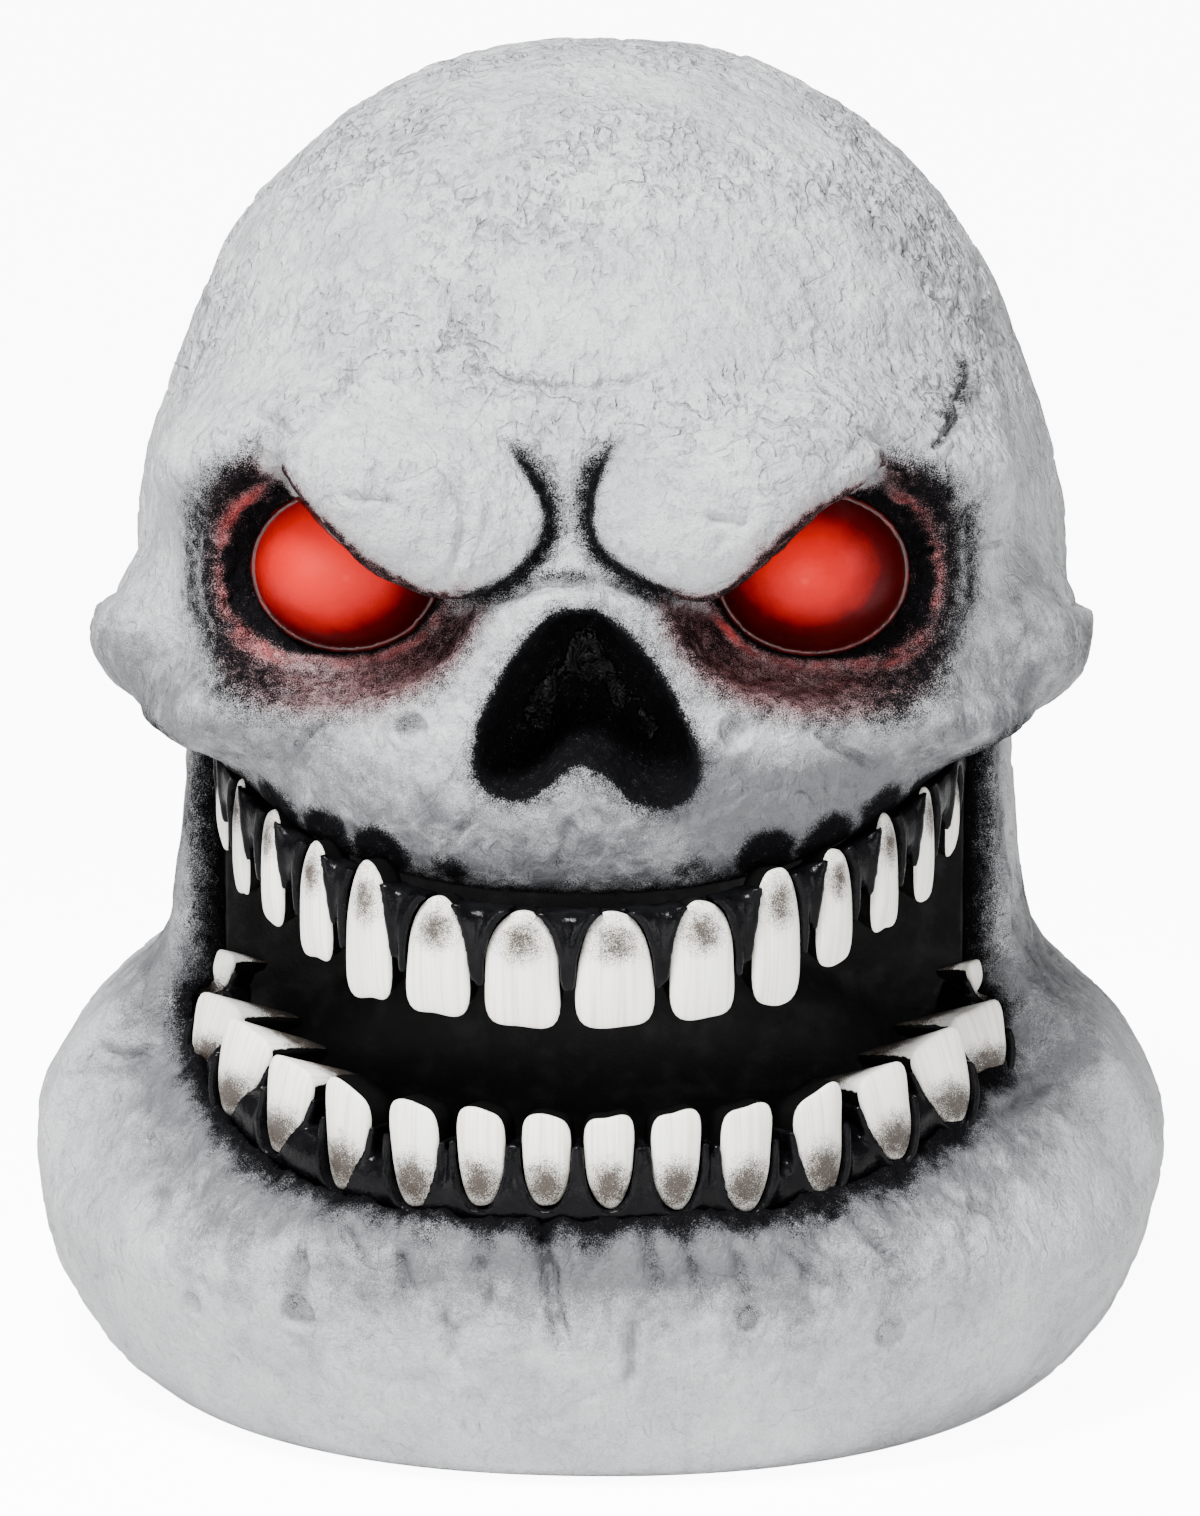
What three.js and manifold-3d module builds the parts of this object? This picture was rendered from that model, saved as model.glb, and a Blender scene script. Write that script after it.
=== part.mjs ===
// Light-up skull decoration: a hollow moulded head on a broad fixed jaw, with every tooth its own piece.
// Millimetres. The base stands on z = 0, +Z is up and the face looks along -Y.

import * as THREE from 'three';
import { mergeVertices } from 'three/addons/utils/BufferGeometryUtils.js';
import Module from 'manifold-3d';

const wasm = await Module();
wasm.setup();

// Head: the cranium's size and place. Everything on the head is placed in shares of these.
const CRANIUM_HALF_WIDTH = 166;
const CRANIUM_HALF_DEPTH = 182;
const CRANIUM_HALF_HEIGHT = 179;
const CRANIUM_SHIFT_BACK = 6;
const CRANIUM_RISE = 111;

// Jaw: the broad lower body.
const JAW_HALF_WIDTH = 216;
const JAW_HALF_DEPTH = 214;
const JAW_HEIGHT = 285;

// Walls and clearances.
const WALL = 3;
const GAP = 0.3;
const OVERRUN = 2;

// Mouth. The upper arch is inset from the cranium and the lower one from the jaw, whose rim lies below
// the gum line by the gape.
const GUM_LINE_HEIGHT = 210;
const GUM_LINE_RISE = 38;
const MOUTH_GAPE = 106;
const RIM_RISE = 42;
const UPPER_ARCH_SIDE_INSET = 29;
const UPPER_ARCH_FRONT_INSET = 33;
const UPPER_ARCH_FORWARD = 66;
const JAW_SHOULDER_WIDTH = 66;
const LIP_THICKNESS = 9;
const LOWER_ARCH_FORWARD = 20;
const UPPER_GUM_WIDTH = 17;
const UPPER_GUM_HEIGHT = 18;
const LOWER_GUM_WIDTH = 21;
const LOWER_GUM_HEIGHT = 18;
const MOUTH_FLOOR_MARGIN = 32;
const MOUTH_FLOOR_DEPTH = 44;

// Teeth.
const UPPER_TOOTH_WIDTH = 28;
const UPPER_TOOTH_LENGTH = 41;
const UPPER_TOOTH_THICKNESS = 13;
const LOWER_TOOTH_WIDTH = 18;
const LOWER_TOOTH_LENGTH = 34;
const LOWER_TOOTH_THICKNESS = 14;
const TOOTH_STAND_OUT = 2;

// Eyes and nose.
const LENS_HALF_WIDTH = 37;
const LENS_HALF_HEIGHT = 32;
const LENS_HALF_DEPTH = 36;
const LENS_THICKNESS = 2.5;
const LED_BOARD_THICKNESS = 1.6;
const LED_RADIUS = 5;
const LED_LENGTH = 9;
const NOSE_CUP_HALF_WIDTH = 43;
const NOSE_CUP_DEPTH = 34;
const NOSE_CUP_THICKNESS = 2.5;

// Base.
const BASE_PLATE_THICKNESS = 3;
const BASE_FLANGE_THICKNESS = 8;
const BASE_SCREW_COUNT = 4;
const BASE_SCREW_RADIUS = 1.8;
const BASE_SCREW_LENGTH = 7;
const BASE_SCREW_HEAD_RADIUS = 4;
const BASE_SCREW_HEAD_HEIGHT = 1.8;
const SCREW_HOLE_CLEARANCE = 0.4;

// Battery bay on the back: three standard AA cells side by side behind a hinged door.
const CELL_RADIUS = 7.25;
const CELL_LENGTH = 50.5;
const CELL_CONTACT_ROOM = 5;
const CELL_TIP_RADIUS = 2.75;
const CELL_TIP_LENGTH = 1;
const CELL_COUNT = 3;
const PANEL_HALF_WIDTH = 62;
const PANEL_BOTTOM = 38;
const PANEL_HEIGHT = 90;
const PANEL_SINK = 30;
const PANEL_WALL = 3;
const BATTERY_BOX_WALL = 1.6;
const DOOR_THICKNESS = 2.4;
const DOOR_MARGIN = 4;
const HINGE_BARREL_RADIUS = 2.6;
const HINGE_PIN_RADIUS = 1.5;
const HINGE_PIN_CLEARANCE = 0.35;
const HINGE_EAR_THICKNESS = 4;
const DOOR_SCREW_RADIUS = 1.5;
const DOOR_SCREW_LENGTH = 7;
const DOOR_SCREW_HEAD_RADIUS = 3.4;
const DOOR_SCREW_HEAD_HEIGHT = 1.5;
const DOOR_SCREW_CLEARANCE = 0.9;
const SWITCH_WIDTH = 16;
const SWITCH_HEIGHT = 9;
const SWITCH_DEPTH = 8;
const SWITCH_TRAVEL = 4;
const SLIDER_WIDTH = 5;
const SLIDER_HEIGHT = 6;
const SLIDER_CAP_THICKNESS = 2.2;
const SLIDER_STEM_SIZE = 3;
const LEAD_RADIUS = 1.4;

// Counts of facets. They set how finely the round forms are drawn, and no size.
const HEAD_COLUMNS = 40;
const HEAD_ROWS = 18;
const HOLLOW_COLUMNS = 26;
const HOLLOW_ROWS = 13;
const BODY_COLUMNS = 32;
const MASS_COLUMNS = 16;
const MASS_ROWS = 9;
const BACKING_COLUMNS = 12;
const BACKING_ROWS = 7;
const ROUND_SIDES = 12;
const MOUTH_COLUMNS = 24;
const GUM_STEPS = 16;
const TOOTH_SIDES = 8;
const LEAD_STEPS = 14;
const LEAD_SIDES = 6;

// Sizes that follow from the ones above.
const CRANIUM_CENTRE_HEIGHT = GUM_LINE_HEIGHT + CRANIUM_RISE;
const RIM_HEIGHT = GUM_LINE_HEIGHT - MOUTH_GAPE;
const UPPER_ARCH_HALF_WIDTH = CRANIUM_HALF_WIDTH - UPPER_ARCH_SIDE_INSET;
const UPPER_ARCH_DEPTH = CRANIUM_HALF_DEPTH - UPPER_ARCH_FRONT_INSET;
const UPPER_ARCH_CENTRE_Y = CRANIUM_SHIFT_BACK - UPPER_ARCH_FORWARD;
const LOWER_ARCH_HALF_WIDTH = JAW_HALF_WIDTH - JAW_SHOULDER_WIDTH;
const LOWER_ARCH_DEPTH = JAW_HALF_DEPTH - LIP_THICKNESS - LOWER_ARCH_FORWARD;
const LOWER_ARCH_CENTRE_Y = -LOWER_ARCH_FORWARD;
const PANEL_FLOOR_Y = JAW_HALF_DEPTH - PANEL_SINK;

const CRANIUM_CENTRE = [0, CRANIUM_SHIFT_BACK, CRANIUM_CENTRE_HEIGHT];
const CRANIUM_HALVES = [CRANIUM_HALF_WIDTH, CRANIUM_HALF_DEPTH, CRANIUM_HALF_HEIGHT];

// The masses of the head. Centre and radii are shares of the cranium's half sizes, measured from its
// centre. Power rounds a mass (2 is an ellipsoid), tilt turns it about +Y in degrees with the outer
// end going down, and blend is how softly it joins what is there, as a share of the cranium's half width.
const HEAD_MASS_SHARES = [
  { centre: [0, 0, 0], radii: [1, 1, 1], power: 2.14, tilt: 0, blend: 0 },
  // Temples.
  { centre: [0.6, -0.14, -0.05], radii: [0.4, 0.52, 0.34], power: 2.2, tilt: -12, blend: 0.24 },
  // Forehead.
  { centre: [0, -0.48, 0.05], radii: [0.78, 0.57, 0.47], power: 2.3, tilt: 0, blend: 0.22 },
  // Middle of the face.
  { centre: [0, -0.51, -0.09], radii: [0.83, 0.56, 0.39], power: 2.8, tilt: 0, blend: 0.18 },
  // Upper jaw.
  { centre: [0, -0.37, -0.35], radii: [0.8, 0.79, 0.45], power: 2.3, tilt: 0, blend: 0.1 },
  // Ends of the cheekbones, and the cheekbones.
  { centre: [0.87, -0.37, -0.17], radii: [0.245, 0.34, 0.165], power: 2, tilt: 4, blend: 0.1 },
  { centre: [0.59, -0.65, -0.25], radii: [0.375, 0.34, 0.125], power: 2, tilt: 14, blend: 0.1 },
  // Ridges over the outer ends of the sockets.
  { centre: [0.66, -0.67, 0.23], radii: [0.265, 0.25, 0.095], power: 2, tilt: 16, blend: 0.16 },
  // Hollows of the temples.
  { centre: [1.14, -0.5, 0.14], radii: [0.1, 0.16, 0.22], power: 2, tilt: 12, blend: 0.15, hollow: true },
  // Brows.
  { centre: [0.335, -0.895, 0.145], radii: [0.331, 0.253, 0.168], power: 2.4, tilt: -25, blend: 0.08 },
];
const BROW_SHARES = HEAD_MASS_SHARES.at(-1);
const SOCKET_SHARES = { centre: [0.54, -1.065, -0.015], radii: [0.337, 0.286, 0.235], power: 2.2, tilt: 6 };
const BRIDGE_SHARES = { centre: [0, -0.965, -0.14], radii: [0.18, 0.197, 0.19], power: 2, tilt: 0 };
const LENS_CENTRE_SHARES = [0.482, -0.747, -0.01];
const NOSE_CUP_CENTRE_SHARES = [0.03, -1.045, -0.25];
const NOSE_SHARES = [
  { centre: [0.018, -1.21, -0.105], radii: [0.066, 0.275, 0.084], power: 2.2, tilt: 0 },
  { centre: [0.03, -1.21, -0.2], radii: [0.13, 0.275, 0.11], power: 2.2, tilt: 0 },
  { centre: [-0.078, -1.21, -0.263], radii: [0.09, 0.275, 0.145], power: 2.2, tilt: 27 },
  { centre: [0.145, -1.21, -0.279], radii: [0.09, 0.275, 0.15], power: 2.2, tilt: -30 },
];

// The lower body by height: shares of its height, half width, and half depth to the front and back.
const BODY_SHARES = [
  { height: -0.14, width: 0.56, front: 0.65, back: 0.6 },
  { height: 0, width: 0.806, front: 0.88, back: 0.84 },
  { height: 0.09, width: 0.921, front: 0.95, back: 0.92 },
  { height: 0.21, width: 0.986, front: 0.995, back: 0.985 },
  { height: 0.333, width: 1, front: 1, back: 0.995 },
  { height: 0.456, width: 0.917, front: 0.958, back: 0.92 },
  { height: 0.561, width: 0.778, front: 0.897, back: 0.84 },
  { height: 0.7, width: 0.736, front: 0.841, back: 0.77 },
  { height: 0.877, width: 0.718, front: 0.771, back: 0.73 },
  { height: 1.05, width: 0.694, front: 0.7, back: 0.7 },
];
const BODY_POWER = 2.15;

// Teeth, from the middle outwards, mirrored. across is a share of the arch's half width, width and
// length are shares of the middle tooth's, lift is how far the root stands above the middle tooth's,
// as a share of the middle tooth's length, and flare is how far the tip leans out, as a share of the
// tooth's own length. lobe is how far the tip reaches into the mouth, as a share of half the thickness.
const UPPER_TOOTH_SHARES = [
  { across: 0.117, width: 1, length: 1, lift: 0, flare: 0 },
  { across: 0.336, width: 0.893, length: 1.02, lift: 0.07, flare: 0 },
  { across: 0.522, width: 0.732, length: 1.19, lift: 0.3, flare: 0 },
  { across: 0.668, width: 0.625, length: 1.02, lift: 0.39, flare: 0 },
  { across: 0.796, width: 0.571, length: 1.02, lift: 0.59, flare: 0 },
  { across: 0.898, width: 0.536, length: 1.02, lift: 0.73, flare: 0 },
  { across: 0.971, width: 0.464, length: 0.8, lift: 0.78, flare: 0 },
];
const LOWER_TOOTH_SHARES = [
  { across: 0.073, width: 1, length: 0.97, lift: 0, flare: 0.05 },
  { across: 0.227, width: 1.03, length: 1.04, lift: -0.04, flare: 0.05 },
  { across: 0.387, width: 1.14, length: 1.13, lift: -0.13, flare: 0.06 },
  { across: 0.547, width: 1.28, length: 1.15, lift: -0.1, flare: 0.1 },
  { across: 0.707, width: 1.4, length: 0.96, lift: 0.16, flare: 0.2, lobe: 1.9 },
  { across: 0.847, width: 1.5, length: 0.91, lift: 0.32, flare: 0.3, lobe: 2.2 },
  { across: 0.947, width: 1.5, length: 0.76, lift: 0.53, flare: 0.4, lobe: 2.2 },
  { across: 0.987, width: 1.35, length: 0.65, lift: 1.12, flare: 0.3, lobe: 1.9 },
];
const LOWER_ARCH_SHIFT_SHARE = 0.02;
// Rings of a tooth from root to tip: shares of its length, half width and half thickness.
const UPPER_PROFILE_SHARES = [[0, 0.45, 0.5], [0.2, 0.78, 0.9], [0.82, 1, 0.85], [1, 0.84, 0.5]];
const LOWER_PROFILE_SHARES = [[0, 0.45, 0.5], [0.22, 0.82, 0.9], [0.86, 1, 0.9], [1, 0.84, 0.6]];
const TOOTH_POWER = 2.8;
const LOBE_POWER = 3;

// Small vector and solid helpers.
const turned = ([x, y, z], degrees) => {
  const angle = THREE.MathUtils.degToRad(degrees);
  return [x * Math.cos(angle) + z * Math.sin(angle), y, z * Math.cos(angle) - x * Math.sin(angle)];
};
const plus = (a, b) => a.map((value, i) => value + b[i]);
const times = (a, b) => a.map((value, i) => value * b[i]);
const grown = (radii, amount) => radii.map((radius) => radius + amount);
const mix = (a, b, share) => a + (b - a) * share;

// A closed solid from points and triangles, with its faces turned outwards.
function solidFrom(points, triangles) {
  const volume = triangles.reduce((sum, [i, j, k]) => {
    const [a, b, c] = [points[i], points[j], points[k]].map((p) => new THREE.Vector3(...p));
    return sum + a.dot(b.cross(c));
  }, 0);
  const outward = volume < 0 ? triangles.map(([i, j, k]) => [i, k, j]) : triangles;
  const geometry = new THREE.BufferGeometry();
  geometry.setAttribute('position', new THREE.Float32BufferAttribute(points.flat(), 3));
  geometry.setIndex(outward.flat());
  return solidOf(geometry);
}

function solidOf(geometry) {
  const bare = geometry.clone();
  for (const name of Object.keys(bare.attributes)) {
    if (name !== 'position') bare.deleteAttribute(name);
  }
  const merged = mergeVertices(bare);
  return new wasm.Manifold(new wasm.Mesh({
    numProp: 3,
    vertProperties: new Float32Array(merged.attributes.position.array),
    triVerts: new Uint32Array(merged.index.array),
  }));
}

function geometryOf(solid) {
  const mesh = solid.getMesh();
  const geometry = new THREE.BufferGeometry();
  geometry.setAttribute('position', new THREE.Float32BufferAttribute(mesh.vertProperties, 3));
  geometry.setIndex(Array.from(mesh.triVerts));
  return geometry;
}

// Rings of equal length, one above the other, closed by a fan at each end.
function ringSolid(rings) {
  const sides = rings[0].length;
  const points = rings.flat();
  const triangles = [];
  for (let r = 0; r + 1 < rings.length; r++) {
    for (let s = 0; s < sides; s++) {
      const [a, b] = [r * sides + s, r * sides + (s + 1) % sides];
      triangles.push([a, b, b + sides], [a, b + sides, a + sides]);
    }
  }
  for (const [start, order] of [[0, -1], [(rings.length - 1) * sides, 1]]) {
    for (let s = 1; s + 1 < sides; s++) {
      triangles.push(order > 0 ? [start, start + s, start + s + 1] : [start, start + s + 1, start + s]);
    }
  }
  return solidFrom(points, triangles);
}

// Rings between two poles, as on a globe.
function globeSolid(bottom, rings, top) {
  const sides = rings[0].length;
  const points = [bottom, ...rings.flat(), top];
  const triangles = [];
  for (let s = 0; s < sides; s++) {
    const next = (s + 1) % sides;
    triangles.push([0, 1 + next, 1 + s]);
    for (let r = 0; r + 1 < rings.length; r++) {
      const [a, b] = [1 + r * sides + s, 1 + r * sides + next];
      triangles.push([a, b, b + sides], [a, b + sides, a + sides]);
    }
    const last = 1 + (rings.length - 1) * sides;
    triangles.push([last + s, last + next, points.length - 1]);
  }
  return solidFrom(points, triangles);
}

const boxSolid = ([x0, y0, z0], [x1, y1, z1]) => {
  const box = new THREE.BoxGeometry(x1 - x0, y1 - y0, z1 - z0);
  return solidOf(box.translate((x0 + x1) / 2, (y0 + y1) / 2, (z0 + z1) / 2));
};

// A round bar from one point along an axis.
function barSolid(start, axis, length, radius, sides = ROUND_SIDES) {
  const bar = new THREE.CylinderGeometry(radius, radius, length, sides);
  const along = new THREE.Vector3(...axis);
  bar.applyQuaternion(new THREE.Quaternion().setFromUnitVectors(new THREE.Vector3(0, 1, 0), along));
  const middle = along.multiplyScalar(length / 2).add(new THREE.Vector3(...start));
  return solidOf(bar.translate(...middle.toArray()));
}

// Distance to a rounded mass: negative inside. Power 2 is an ellipsoid, more is boxier.
function massDistance(point, { centre, radii, power, tilt }) {
  const local = turned(point.map((value, i) => value - centre[i]), -tilt).map(Math.abs);
  const q = local.map((value, i) => value / radii[i]);
  const reach = q.reduce((sum, value) => sum + value ** power, 0) ** (1 / power) + 1e-9;
  const slope = reach ** (1 - power) * Math.hypot(...q.map((value, i) => value ** (power - 1) / radii[i]));
  return (reach - 1) / (slope + 1e-9);
}

function softJoin(a, b, blend) {
  const share = THREE.MathUtils.clamp(0.5 + (0.5 * (b - a)) / blend, 0, 1);
  return b + (a - b) * share - blend * share * (1 - share);
}

// A mass given in shares of the cranium, in millimetres. side -1 mirrors it.
const placed = ({ centre, radii, power, tilt }, side = 1, growth = 0) => ({
  centre: times(plus(CRANIUM_CENTRE, times(centre, CRANIUM_HALVES)), [side, 1, 1]),
  radii: grown(times(radii, CRANIUM_HALVES), growth),
  power,
  tilt: tilt * side,
});

const HEAD_MASSES = HEAD_MASS_SHARES.map((mass) => ({
  ...placed(mass), blend: mass.blend * CRANIUM_HALF_WIDTH, hollow: mass.hollow,
}));

// Distance to the head before its sockets, brows and nose are made.
function headDistance([x, y, z]) {
  const point = [Math.abs(x), y, z];
  return HEAD_MASSES.reduce((distance, mass) => {
    const own = massDistance(point, mass);
    if (distance === null) return own;
    return mass.hollow ? -softJoin(-distance, own, mass.blend) : softJoin(distance, own, mass.blend);
  }, null);
}

// A mass as a mesh of its own.
function massSolid({ centre, radii, power, tilt }, columns = MASS_COLUMNS, rows = MASS_ROWS) {
  const onSurface = (turn, rise) => {
    const way = [Math.cos(rise) * Math.sin(turn), -Math.cos(rise) * Math.cos(turn), Math.sin(rise)];
    const reach = way.reduce((sum, value) => sum + Math.abs(value) ** power, 0) ** (-1 / power);
    return plus(centre, turned(times(way.map((value) => value * reach), radii), tilt));
  };
  const rings = [];
  for (let r = 1; r < rows; r++) {
    const rise = -Math.PI / 2 + (Math.PI * r) / rows;
    rings.push(Array.from({ length: columns }, (_, c) => onSurface((2 * Math.PI * c) / columns, rise)));
  }
  return globeSolid(onSurface(0, -Math.PI / 2), rings, onSurface(0, Math.PI / 2));
}

// The head's skin at a distance from its surface, found along rays from the middle of the head.
// Rays lie closer together on the face and round the middle than on the back and the poles.
const FACE_CROWDING_SHARE = 0.45;
const ROW_CROWDING_SHARE = 0.4;
const RAY_START_SHARE = 0.1;
const RAY_STRIDE_SHARE = 1 / 60;
function headSkin(distance, columns, rows) {
  const middle = [0, 0, CRANIUM_CENTRE_HEIGHT - CRANIUM_HALF_HEIGHT * RAY_START_SHARE];
  const far = 2 * Math.max(...CRANIUM_HALVES);
  const onSkin = (turn, rise) => {
    const way = [Math.cos(rise) * Math.sin(turn), -Math.cos(rise) * Math.cos(turn), Math.sin(rise)];
    const at = (length) => plus(middle, way.map((value) => value * length));
    let outside = far;
    const stride = far * RAY_STRIDE_SHARE;
    while (headDistance(at(outside - stride)) > distance) outside -= stride;
    let inside = outside - stride;
    for (let i = 0; i < 24; i++) {
      const half = (inside + outside) / 2;
      if (headDistance(at(half)) > distance) outside = half;
      else inside = half;
    }
    return at(inside);
  };
  const crowd = (u, share) => u * (1 - share * (1 - Math.abs(u)));
  const rings = [];
  for (let r = 1; r < rows; r++) {
    const rise = (Math.PI / 2) * crowd((2 * r) / rows - 1, ROW_CROWDING_SHARE);
    rings.push(Array.from({ length: columns }, (_, c) => (
      onSkin(Math.PI * crowd((2 * c) / columns - 1, FACE_CROWDING_SHARE), rise))));
  }
  return globeSolid(onSkin(0, -Math.PI / 2), rings, onSkin(0, Math.PI / 2));
}

// The height of the head's underside, which rises towards the cheeks.
const GUM_LINE_POWER = 2.4;
const GUM_LINE_END_SHARE = 1.1;
const gumLine = (x) => {
  const across = Math.min(Math.abs(x) / UPPER_ARCH_HALF_WIDTH, GUM_LINE_END_SHARE);
  return GUM_LINE_HEIGHT + GUM_LINE_RISE * across ** GUM_LINE_POWER;
};

// Everything above the gum line, lifted by some amount.
function aboveGumLine(lift) {
  const edge = 2 * CRANIUM_HALF_WIDTH;
  const steps = 26;
  const shape = new THREE.Shape();
  shape.moveTo(-edge, gumLine(edge) + lift);
  for (let i = 1; i <= steps; i++) {
    const x = mix(-edge, edge, i / steps);
    shape.lineTo(x, gumLine(x) + lift);
  }
  shape.lineTo(edge, 2 * CRANIUM_CENTRE_HEIGHT);
  shape.lineTo(-edge, 2 * CRANIUM_CENTRE_HEIGHT);
  const depth = 4 * CRANIUM_HALF_DEPTH;
  const slab = new THREE.ExtrudeGeometry(shape, { depth, bevelEnabled: false });
  return solidOf(slab.rotateX(Math.PI / 2).translate(0, depth / 2, 0));
}

const SIDES = [['left', -1], ['right', 1]];
const LENS_POWER = 2.1;
const lensMass = (side, growth) => ({
  centre: times(plus(CRANIUM_CENTRE, times(LENS_CENTRE_SHARES, CRANIUM_HALVES)), [side, 1, 1]),
  radii: grown([LENS_HALF_WIDTH, LENS_HALF_DEPTH, LENS_HALF_HEIGHT], growth),
  power: LENS_POWER,
  tilt: 0,
});

// The space inside the head, for a wall of the given thickness. The skull's skin has small ridges that
// the hollow doesn't follow, so the wall is somewhat thicker there.
const RIDGE_BACKING_SHARE = 1.5;
const backing = (share, side, growth) => (
  massSolid(placed(share, side, growth), BACKING_COLUMNS, BACKING_ROWS));
function headHollow(wall) {
  let hollow = headSkin(-wall * RIDGE_BACKING_SHARE, HOLLOW_COLUMNS, HOLLOW_ROWS);
  hollow = hollow.intersect(aboveGumLine(wall));
  for (const [, side] of SIDES) hollow = hollow.subtract(massSolid(placed(SOCKET_SHARES, side, wall)));
  for (const [, side] of SIDES) hollow = hollow.add(backing(BROW_SHARES, side, -wall * RIDGE_BACKING_SHARE));
  return hollow.add(backing(BRIDGE_SHARES, 1, -wall * RIDGE_BACKING_SHARE));
}

let head = headSkin(0, HEAD_COLUMNS, HEAD_ROWS).intersect(aboveGumLine(0));
for (const [, side] of SIDES) head = head.subtract(massSolid(placed(SOCKET_SHARES, side)));
for (const [, side] of SIDES) head = head.add(massSolid(placed(BROW_SHARES, side)));
head = head.add(massSolid(placed(BRIDGE_SHARES)));
for (const share of NOSE_SHARES) head = head.subtract(backing(share, 1, 0));
head = head.subtract(headHollow(WALL));
for (const [, side] of SIDES) head = head.subtract(massSolid(lensMass(side, GAP)));

// The neck: a hole in the head's underside, behind the mouth, where the leads pass.
const NECK_SHARES = { halfWidth: 0.36, front: 0.18, back: 0.6 };
const NECK_HALF_WIDTH = CRANIUM_HALF_WIDTH * NECK_SHARES.halfWidth;
const NECK_FRONT = CRANIUM_HALF_DEPTH * NECK_SHARES.front;
const NECK_BACK = CRANIUM_HALF_DEPTH * NECK_SHARES.back;
head = head.subtract(boxSolid(
  [-NECK_HALF_WIDTH, NECK_FRONT, GUM_LINE_HEIGHT - GUM_LINE_RISE],
  [NECK_HALF_WIDTH, NECK_BACK, GUM_LINE_HEIGHT + GUM_LINE_RISE],
));

// The head is moulded in two halves that meet at a seam over the temples.
const SEAM_SHARE = 0.07;
const SEAM_Y = CRANIUM_HALF_DEPTH * SEAM_SHARE;
const halfSpace = (front, edge) => {
  const reach = 4 * CRANIUM_HALF_DEPTH;
  return front ? boxSolid([-reach, -reach, -reach], [reach, edge, reach])
    : boxSolid([-reach, edge, -reach], [reach, reach, reach]);
};
const faceShell = head.intersect(halfSpace(true, SEAM_Y - GAP / 2));
const backShell = head.intersect(halfSpace(false, SEAM_Y + GAP / 2));

// A black cup behind the nose hole.
const NOSE_CUP_POWER = 2.2;
const noseCupMass = (growth) => ({
  centre: plus(CRANIUM_CENTRE, times(NOSE_CUP_CENTRE_SHARES, CRANIUM_HALVES)),
  radii: grown([NOSE_CUP_HALF_WIDTH, NOSE_CUP_DEPTH, NOSE_CUP_HALF_WIDTH], growth),
  power: NOSE_CUP_POWER,
  tilt: 0,
});
const noseCup = massSolid(noseCupMass(0)).subtract(massSolid(noseCupMass(-NOSE_CUP_THICKNESS)))
  .intersect(headHollow(WALL + GAP));

// Each eye is a domed lens that fills a hole in its socket, with a light board against its back rim.
const LENS_BACK_SHARE = 0.25;
const LED_BOARD_SHARE = 0.95;
const eyeParts = SIDES.map(([, side]) => {
  const { centre } = lensMass(side, 0);
  const backY = centre[1] + LENS_HALF_DEPTH * LENS_BACK_SHARE;
  const dome = massSolid(lensMass(side, 0)).subtract(massSolid(lensMass(side, -LENS_THICKNESS)));
  const boardRadius = LENS_HALF_WIDTH * LED_BOARD_SHARE;
  const board = barSolid([0, 0, 0], [0, 1, 0], LED_BOARD_THICKNESS, boardRadius, MASS_COLUMNS)
    .scale([1, 1, LENS_HALF_HEIGHT / LENS_HALF_WIDTH]).translate([centre[0], backY + GAP, centre[2]]);
  const lamp = barSolid([centre[0], backY + GAP + LED_BOARD_THICKNESS / 2, centre[2]], [0, -1, 0],
    LED_LENGTH, LED_RADIUS);
  return { lens: dome.intersect(halfSpace(true, backY)), board: board.add(lamp) };
});

// Smooth reach of the lower body at a height, through the stations by a cubic curve.
function bodyReach(height, key) {
  const at = THREE.MathUtils.clamp(height, BODY_SHARES[0].height, BODY_SHARES.at(-1).height);
  const i = Math.min(BODY_SHARES.findLastIndex((station) => station.height <= at), BODY_SHARES.length - 2);
  const slope = (n) => {
    const [a, b] = [BODY_SHARES[Math.max(n - 1, 0)], BODY_SHARES[Math.min(n + 1, BODY_SHARES.length - 1)]];
    return (b[key] - a[key]) / (b.height - a.height);
  };
  const [low, high] = [BODY_SHARES[i], BODY_SHARES[i + 1]];
  const span = high.height - low.height;
  const t = (at - low.height) / span;
  return (2 * t ** 3 - 3 * t ** 2 + 1) * low[key] + (t ** 3 - 2 * t ** 2 + t) * span * slope(i)
    + (3 * t ** 2 - 2 * t ** 3) * high[key] + (t ** 3 - t ** 2) * span * slope(i + 1);
}

// The outline of the lower body at a height, drawn in by an inset.
function bodyRing(z, inset, columns = BODY_COLUMNS, scale = 1) {
  const height = z / JAW_HEIGHT;
  return Array.from({ length: columns }, (_, c) => {
    const turn = (2 * Math.PI * c) / columns;
    const [across, along] = [Math.sin(turn), -Math.cos(turn)];
    const reach = (Math.abs(across) ** BODY_POWER + Math.abs(along) ** BODY_POWER) ** (-1 / BODY_POWER);
    const halfWidth = scale * JAW_HALF_WIDTH * bodyReach(height, 'width') - inset;
    const halfDepth = scale * JAW_HALF_DEPTH * bodyReach(height, along < 0 ? 'front' : 'back') - inset;
    return [across * reach * halfWidth, along * reach * halfDepth, z];
  });
}

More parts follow.
